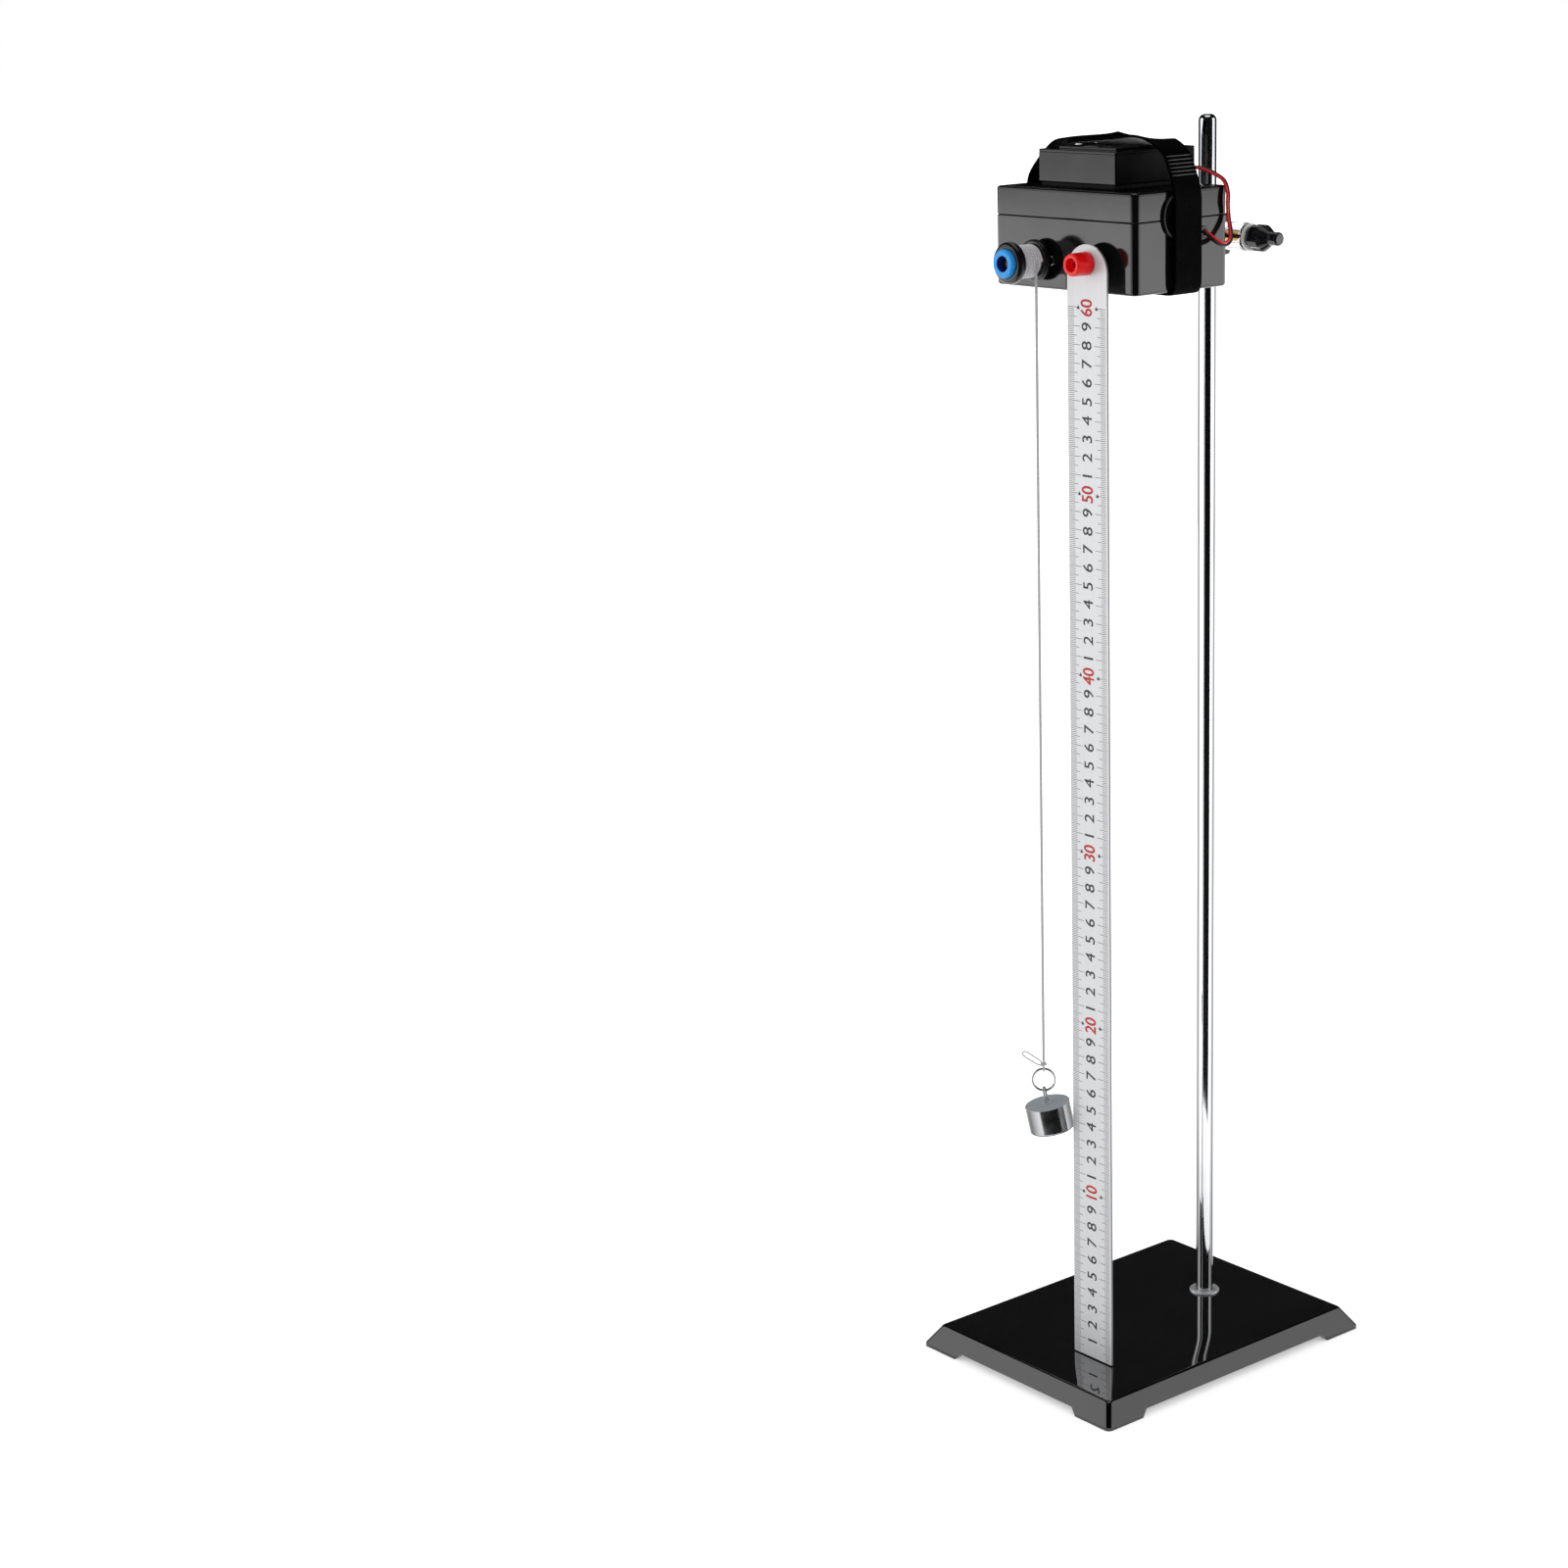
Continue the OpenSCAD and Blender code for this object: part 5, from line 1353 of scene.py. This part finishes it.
@dataclass
class Spool:
    """Spool on the motor's shaft: two rubber flanges, blue cap and wound string."""

    x: float = -17.3
    flange_d: float = 22.6
    rear_out: float = 2.6
    rear_t: float = 4.0
    core_out: float = 6.6
    core_l: float = 13.9
    front_t: float = 5.4
    cap_d: float = 15.6
    cap_bore: float = 8.4
    cap_seat: float = 1.5
    cap_out: float = 2.6
    cap_lip: float = 0.6
    shaft_d: float = 6.2
    wind_r: float = 8.25
    wind_gap: float = 0.03
    twist: Twist = (3, 5.0, 0.06)

    def build(self) -> None:
        """Make the flanges, the cap and the winding."""
        axis = Axis((self.x, BOX_FRONT, SPOOL_Z), Facing.FRONT, "spool")
        r, b, thick = self.flange_d / 2, self.shaft_d / 2, self.front_t
        rear = bored(b, r, self.rear_t, 1.5, 1.5)
        axis.turn("rear_flange", rear, [FLANGE], "flange_rubber", "spool_rear_flange", self.rear_out)
        rim, seat, front = self.cap_d / 2 + GAP, thick - self.cap_seat, self.core_out + self.core_l
        face = rounded([
            (b, 2, 0), (b, 0, 0.1), (r, 0, 1.9), (r, thick, 2.6), (rim, thick, 0.3), (rim, seat, 0.1),
            (b, seat, 0.1), (b, 2, 0)])
        axis.turn("front_flange", face, [FLANGE], "flange_rubber", "spool_front_flange", front)
        k, h, tall = self.cap_d / 2, self.cap_bore / 2, self.cap_seat + self.cap_out
        outer = rounded([(h, 0, 0), (k, 0, 0.1), (k, tall, 1.3), (h + self.cap_lip, tall, 0)], 10)
        inner = rounded([(h + self.cap_lip, tall, 0), (h, tall, 0.5), (h, 0, 0)])
        cap, shaded = np.concatenate([outer, inner]), len(outer) + 5
        axis.turn("blue_cap", cap, [BLUE, NAVY], "blue_plastic", "spool_cap", front + seat, second=shaded)
        grid = placed(self.winding(), (self.x, BOX_FRONT - self.core_out, SPOOL_Z), Facing.FRONT)
        string = Surface.of_grid(grid).as_object("wound_string", [STRING], 60)
        settle(string, "spool", "white_string", "thread_winding")

    def winding(self) -> Array:
        """Close turns of string: a circle carried along a screw whose pitch is the string's own width.

        Returns:
            Grid of points along the spool's axis, from the core's rear end.
        """
        length = self.core_l - STRING_D - 2 * GAP
        turns = length / (STRING_D + self.wind_gap)
        share = np.linspace(0, 1, int(turns * 40))
        angle = 2 * np.pi * turns * share
        along = STRING_D / 2 + GAP + share * length
        path = np.stack([self.wind_r * np.cos(angle), self.wind_r * np.sin(angle), along], -1)
        return tube(path, STRING_D / 2, 14, self.twist)


@dataclass
class HangingWeight:
    """String, knot, split ring and eyed weight."""

    x: float = -9.05
    y: float = -68.5
    foot_z: float = 186.2
    knot_z: float = 184.5
    knot_size: float = 0.52
    loop_z: float = 181.6
    ring_z: float = 175.2
    ring_r: float = 6.4
    ring_wire: float = 1.4
    coil_wire: float = 1.2
    coil_pitch: float = 0.55
    eye_top: float = 170.4
    eye_l: float = 9.2
    eye_half: float = 1.9
    eye_wire: float = 1.4
    eye_turn: float = 75.0
    weight_d: float = 26.0
    weight_h: float = 16.0
    rim: float = 0.9
    sunk: float = 0.06
    tilt: float = 11.0
    turn: float = 46.0
    twist: Twist = (3, 3.2, 0.09)
    strand_d: float = 0.95
    strand_twist: Twist = (2, 3.0, 0.1)
    tail_route: tuple[Point, ...] = (
        (-0.4, 0, 0.4), (-2.6, -0.3, 2.6), (-6, -0.4, 5), (-9.8, -0.2, 7.4), (-11.6, 0, 7), (-11.3, 0.2, 5),
        (-7, 0.4, 1.9), (-3.2, 0.3, -0.4), (-0.4, 0, -1))

    def build(self) -> None:
        """Make the string first, then what hangs on it."""
        self.string()
        for made, name, finishes, sharp, slot, node in (
            (self.knot(), "string_tie", [SHADED_STRING], 80, "white_string", "string_knot"),
            (self.ring(), "key_ring_coil", [NICKEL_WIRE], 60, "chrome_plate", "split_ring"),
            (self.eye(), "weight_loop", [NICKEL_WIRE, DULL_STEEL], 45, "chrome_plate", "weight_eye"),
            (self.weight(), "plated_weight", [NICKEL, DULL_STEEL], 35, "steel_weight", "weight_body"),
        ):
            settle(made.as_object(name, finishes, sharp), "weight", slot, node)

    def string(self) -> None:
        """Twisted string from the spool straight down to the knot, held by the head and the weight."""
        z = np.linspace(SPOOL_Z, self.foot_z, 901)
        path = np.stack([0 * z + self.x, 0 * z + self.y, z], -1)
        grid = tube(path, STRING_D / 2, 12, self.twist)
        # The hanging string takes the string darkened as painted shade
        piece = Surface.of_grid(grid).as_object("hanging_string", [SHADED_STRING], 80)
        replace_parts(piece, "hang_string")
        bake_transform(piece)

    def facing(self, grid: Array, z: float) -> Array:
        """Points on the string's line, turned as the weight has turned, at a height."""
        return placed(turned(grid, self.turn, "Z"), (self.x, self.y, z))

    def hung(self, grid: Array) -> Array:
        """Points of the weight's own frame leant and turned as it hangs from the eye's top."""
        return self.facing(turned(grid, -self.tilt, "Y"), self.eye_top)

    def knot(self) -> Surface:
        """Knot over the ring: a threefold knotted curve, a loop round the ring's wire and the doubled tail.

        Returns:
            Surface of the three strands.
        """
        t = np.linspace(0, 2 * np.pi, 120, endpoint=False)
        tie = [np.sin(t) + 2 * np.sin(2 * t), np.cos(t) - 2 * np.cos(2 * t), -1.3 * np.sin(3 * t)]
        a = np.linspace(0, 2 * np.pi, 40, endpoint=False)
        r = self.ring_wire / 2 + 0.35 + self.strand_d / 2
        loop = [0 * a, r * np.cos(a), r * np.sin(a) + self.loop_z - self.knot_z]
        tail = spline(self.tail_route, 8)
        paths = [(np.stack(tie, -1) * self.knot_size, True), (np.stack(loop, -1), True), (tail, False)]
        strands = [tube(path, self.strand_d / 2, 12, self.strand_twist, closed) for path, closed in paths]
        return Surface.joined([Surface.of_grid(self.facing(grid, self.knot_z)) for grid in strands])

    def ring(self) -> Surface:
        """Split ring: wire carried along two turns of a flat screw.

        Returns:
            Surface of the ring.
        """
        a = np.linspace(0, 4 * np.pi - 0.5, 200)
        rise = self.coil_pitch * (a / (2 * np.pi) - 1)
        coil = np.stack([self.ring_r * np.cos(a), self.ring_r * np.sin(a), rise], -1)
        upright = placed(tube(coil, self.coil_wire / 2, 14), (0, 0, 0), Facing.FRONT)
        return Surface.of_grid(self.facing(upright, self.ring_z))

    def eye(self) -> Surface:
        """Eye: wire bent to a narrow hairpin on a turned foot.

        Returns:
            Surface whose second finish lies on the foot.
        """
        a = np.linspace(0, np.pi, 33)
        half, low = self.eye_half, self.eye_half - self.eye_l
        bend = np.stack([half * np.cos(a), 0 * a, half * np.sin(a)], -1)
        leg = np.array([(half, 0, low - 0.3), (half, 0, low / 2)])
        wire = tube(np.concatenate([leg, bend, leg[::-1] * [-1, 1, 1]]), self.eye_wire / 2, 14)
        sole, cap = low - 0.5, low + 0.7
        foot = lathe(rounded([(0, sole, 0), (3.2, sole, 0), (2.9, cap, 0.6), (0, cap, 0)]), 48)
        parts = [turned(grid - [0, 0, half], self.eye_turn, "Z") for grid in (wire, foot)]
        return Surface.joined([Surface.of_grid(self.hung(grid), k) for k, grid in enumerate(parts)])

    def weight(self) -> Surface:
        """Weight: a plated drum with rounded edges and a dull, slightly sunk top face.

        Returns:
            Surface whose second finish lies on the top face.
        """
        r, top, face = self.weight_d / 2, -self.eye_l, -self.eye_l - self.sunk
        low, rim = top - self.weight_h, self.weight_d / 2 - self.rim
        side = rounded([(0, low, 0), (r, low, 1.2), (r, top, 0.5), (rim, top, 0)], 8)
        dish = rounded([(rim, top, 0), (rim - 0.1, face, 0.02), (0, face, 0)], 3)
        rows = np.concatenate([side, dish])
        number = (rows[1:, 1:] > top - 0.4).astype(int)
        return Surface.of_grid(self.hung(lathe(rows, 160)), number)


@dataclass
class Studio:
    """Camera of the photograph, white floor, soft boxes and dark cards; lengths of the lights in metres."""

    place: Point = (1265.968, -1262.797, 812.032)
    yaw: float = 51.52
    pitch: float = 13.557
    roll: float = 1.637
    focal_px: float = 3309.529
    middle_px: Pair = (800.0, 730.0)
    frame_px: float = 1600.0
    sensor: float = 36.0
    even_light: float = 0.66
    floor_half: float = 20.0
    floor_fade: Pair = (0.12, 0.4)
    floor_glow: Pair = (0.4, 1.0)
    box_side: float = 1.9
    aim: Point = (0.0, 0.0, 0.35)

    def build(self) -> None:
        """Set up camera, colours, world, floor and lights."""
        scene = bpy.context.scene
        scene.view_settings.view_transform = "Standard"
        self.camera(scene)
        self.world(scene)
        self.floor()
        self.soft_box("key_box", (-1.5, -1.55, 0.95), 18.5)
        self.soft_box("side_box", (1.55, 1.5, 0.95), 16.0)
        self.card("camera_card", -40.0, 46.0, [(0.32, 0.002), (2.5, 0.002), (2.5, 2.6)])
        self.card("back_card", 141.5, 24.0, [(2.6, 0.01), (2.6, 2.6)])
        self.card("ring_card", -38.5, 158.0, [(2.7, 0.45), (2.7, 2.4), (1.3, 3.6)])

    def camera(self, scene: Scene) -> None:
        """Camera from its place, its three turns and the focal length in pixels.

        Args:
            scene: scene that looks through it.
        """
        yaw, pitch, roll = (math.radians(a) for a in (self.yaw, self.pitch, self.roll))
        level = np.array([-math.sin(yaw), math.cos(yaw), 0.0])
        ahead = level * math.cos(pitch) - [0, 0, math.sin(pitch)]
        right = np.array([math.cos(yaw), math.sin(yaw), 0.0])
        down = np.cross(ahead, right)
        x = right * math.cos(roll) + down * math.sin(roll)
        y = right * math.sin(roll) - down * math.cos(roll)
        lens = bpy.data.cameras.new("camera")
        lens.sensor_width = self.sensor
        lens.lens = self.sensor * self.focal_px / self.frame_px
        lens.shift_x = (self.frame_px / 2 - self.middle_px[0]) / self.frame_px
        lens.shift_y = (self.middle_px[1] - self.frame_px / 2) / self.frame_px
        made = bpy.data.objects.new("camera", lens)
        turn = Matrix((x, y, -ahead)).transposed().to_4x4()
        made.matrix_world = Matrix.Translation(Vector(self.place) * MM) @ turn
        scene.collection.objects.link(made)
        scene.camera = made

    def seen(self, tree: NodeTree) -> NodeSocket:
        """One where the camera, a reflection or a view through glass looks, else zero.

        Args:
            tree: node tree that asks.

        Returns:
            Socket of that value.
        """
        path = add_node(tree, "LightPath")
        either = {0: path["Is Camera Ray"], 1: path["Is Glossy Ray"]}
        first = add_node(tree, "Math", either, operation="MAXIMUM")[0]
        return add_node(tree, "Math", {0: first, 1: path["Is Transmission Ray"]}, operation="MAXIMUM")[0]

    def world(self, scene: Scene) -> None:
        """White surroundings to the eye, and a gentle even light on the object.

        Args:
            scene: scene that gets the world.
        """
        world = bpy.data.worlds.new("studio")
        scene.world = world
        world.use_nodes = True
        tree = world.node_tree
        tree.nodes.clear()
        strength = add_node(tree, "MapRange", {0: self.seen(tree), 3: self.even_light, 4: 1.0})[0]
        light = add_node(tree, "Background", {"Color": (1, 1, 1, 1), "Strength": strength})[0]
        add_node(tree, "OutputWorld", {"Surface": light})

    def floor(self) -> None:
        """White floor that takes a soft shadow near the base and is plain white further out."""
        mesh = bpy.data.meshes.new("floor")
        side = self.floor_half
        square = [(-side, -side, 0), (side, -side, 0), (side, side, 0), (-side, side, 0)]
        mesh.from_pydata(square, [], [(0, 1, 2, 3)])
        material = bpy.data.materials.new("white floor")
        material.use_nodes = True
        tree = material.node_tree
        tree.nodes.clear()
        place = add_node(tree, "TexCoord")["Object"]
        far = add_node(tree, "VectorMath", {0: place}, operation="LENGTH")["Value"]
        fade = {0: far, **dict(enumerate((*self.floor_fade, *self.floor_glow), 1))}
        plain = add_node(tree, "MapRange", fade, interpolation_type="SMOOTHSTEP")[0]
        share = add_node(tree, "Math", {0: plain, 1: self.seen(tree)}, operation="MULTIPLY")[0]
        matt = add_node(tree, "BsdfDiffuse", {"Color": linear("#f4f4f4")})[0]
        white = add_node(tree, "Emission", {"Color": (1, 1, 1, 1), "Strength": share})[0]
        add_node(tree, "OutputMaterial", {"Surface": add_node(tree, "AddShader", {0: matt, 1: white})[0]})
        mesh.materials.append(material)
        made = bpy.data.objects.new("floor", mesh)
        bpy.context.scene.collection.objects.link(made)

    def soft_box(self, name: str, place: Point, watts: float) -> None:
        """Square soft light that faces the middle of the apparatus.

        Args:
            name: name of the light.
            place: its middle in metres.
            watts: its power.
        """
        light = bpy.data.lights.new(name, "AREA")
        light.shape = "SQUARE"
        light.size = self.box_side
        light.energy = watts
        made = bpy.data.objects.new(name, light)
        toward = Vector(self.aim) - Vector(place)
        made.matrix_world = Matrix.Translation(place) @ toward.to_track_quat("-Z", "Y").to_matrix().to_4x4()
        bpy.context.scene.collection.objects.link(made)

    def card(self, name: str, azimuth: float, spread: float, rows: Sequence[Pair]) -> None:
        """Black curtain that only reflections see: rows of radius and height carried along an arc.

        Args:
            name: name of the card.
            azimuth: direction of its middle in degrees from +X.
            spread: half of its angle in degrees.
            rows: radius and height of each row in metres.
        """
        angle = np.radians(azimuth + np.linspace(-spread, spread, 49))[None]
        radius, height = (np.array(rows)[:, k : k + 1] for k in (0, 1))
        grid = np.stack([radius * np.cos(angle), radius * np.sin(angle), height + 0 * angle], -1) / MM
        made = Surface.of_grid(grid, wrap=False).as_object(name, [FELT])
        made.visible_camera = made.visible_diffuse = made.visible_shadow = made.visible_transmission = False


def dress_cad() -> None:
    """Give each CAD node that still shows its finish."""
    for finish, names in CAD_NODES.items():
        for name in names:
            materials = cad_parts[name].data.materials
            materials.clear()
            materials.append(finish.material())


def main() -> None:
    """Build the studio and every sub-assembly, and note the size of the result."""
    logging.basicConfig(level=logging.INFO, format="%(name)s: %(message)s")
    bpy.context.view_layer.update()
    dress_cad()
    head = (MotorBox, BatteryPack, Strap)
    for part in (Studio, HangingWeight, Wiring, Stand, *head, Ruler, RulerKnob, ThumbScrew, Spool):
        part().build()
        LOG.info("%s built", part.__name__)


if __name__ == "__main__":
    main()
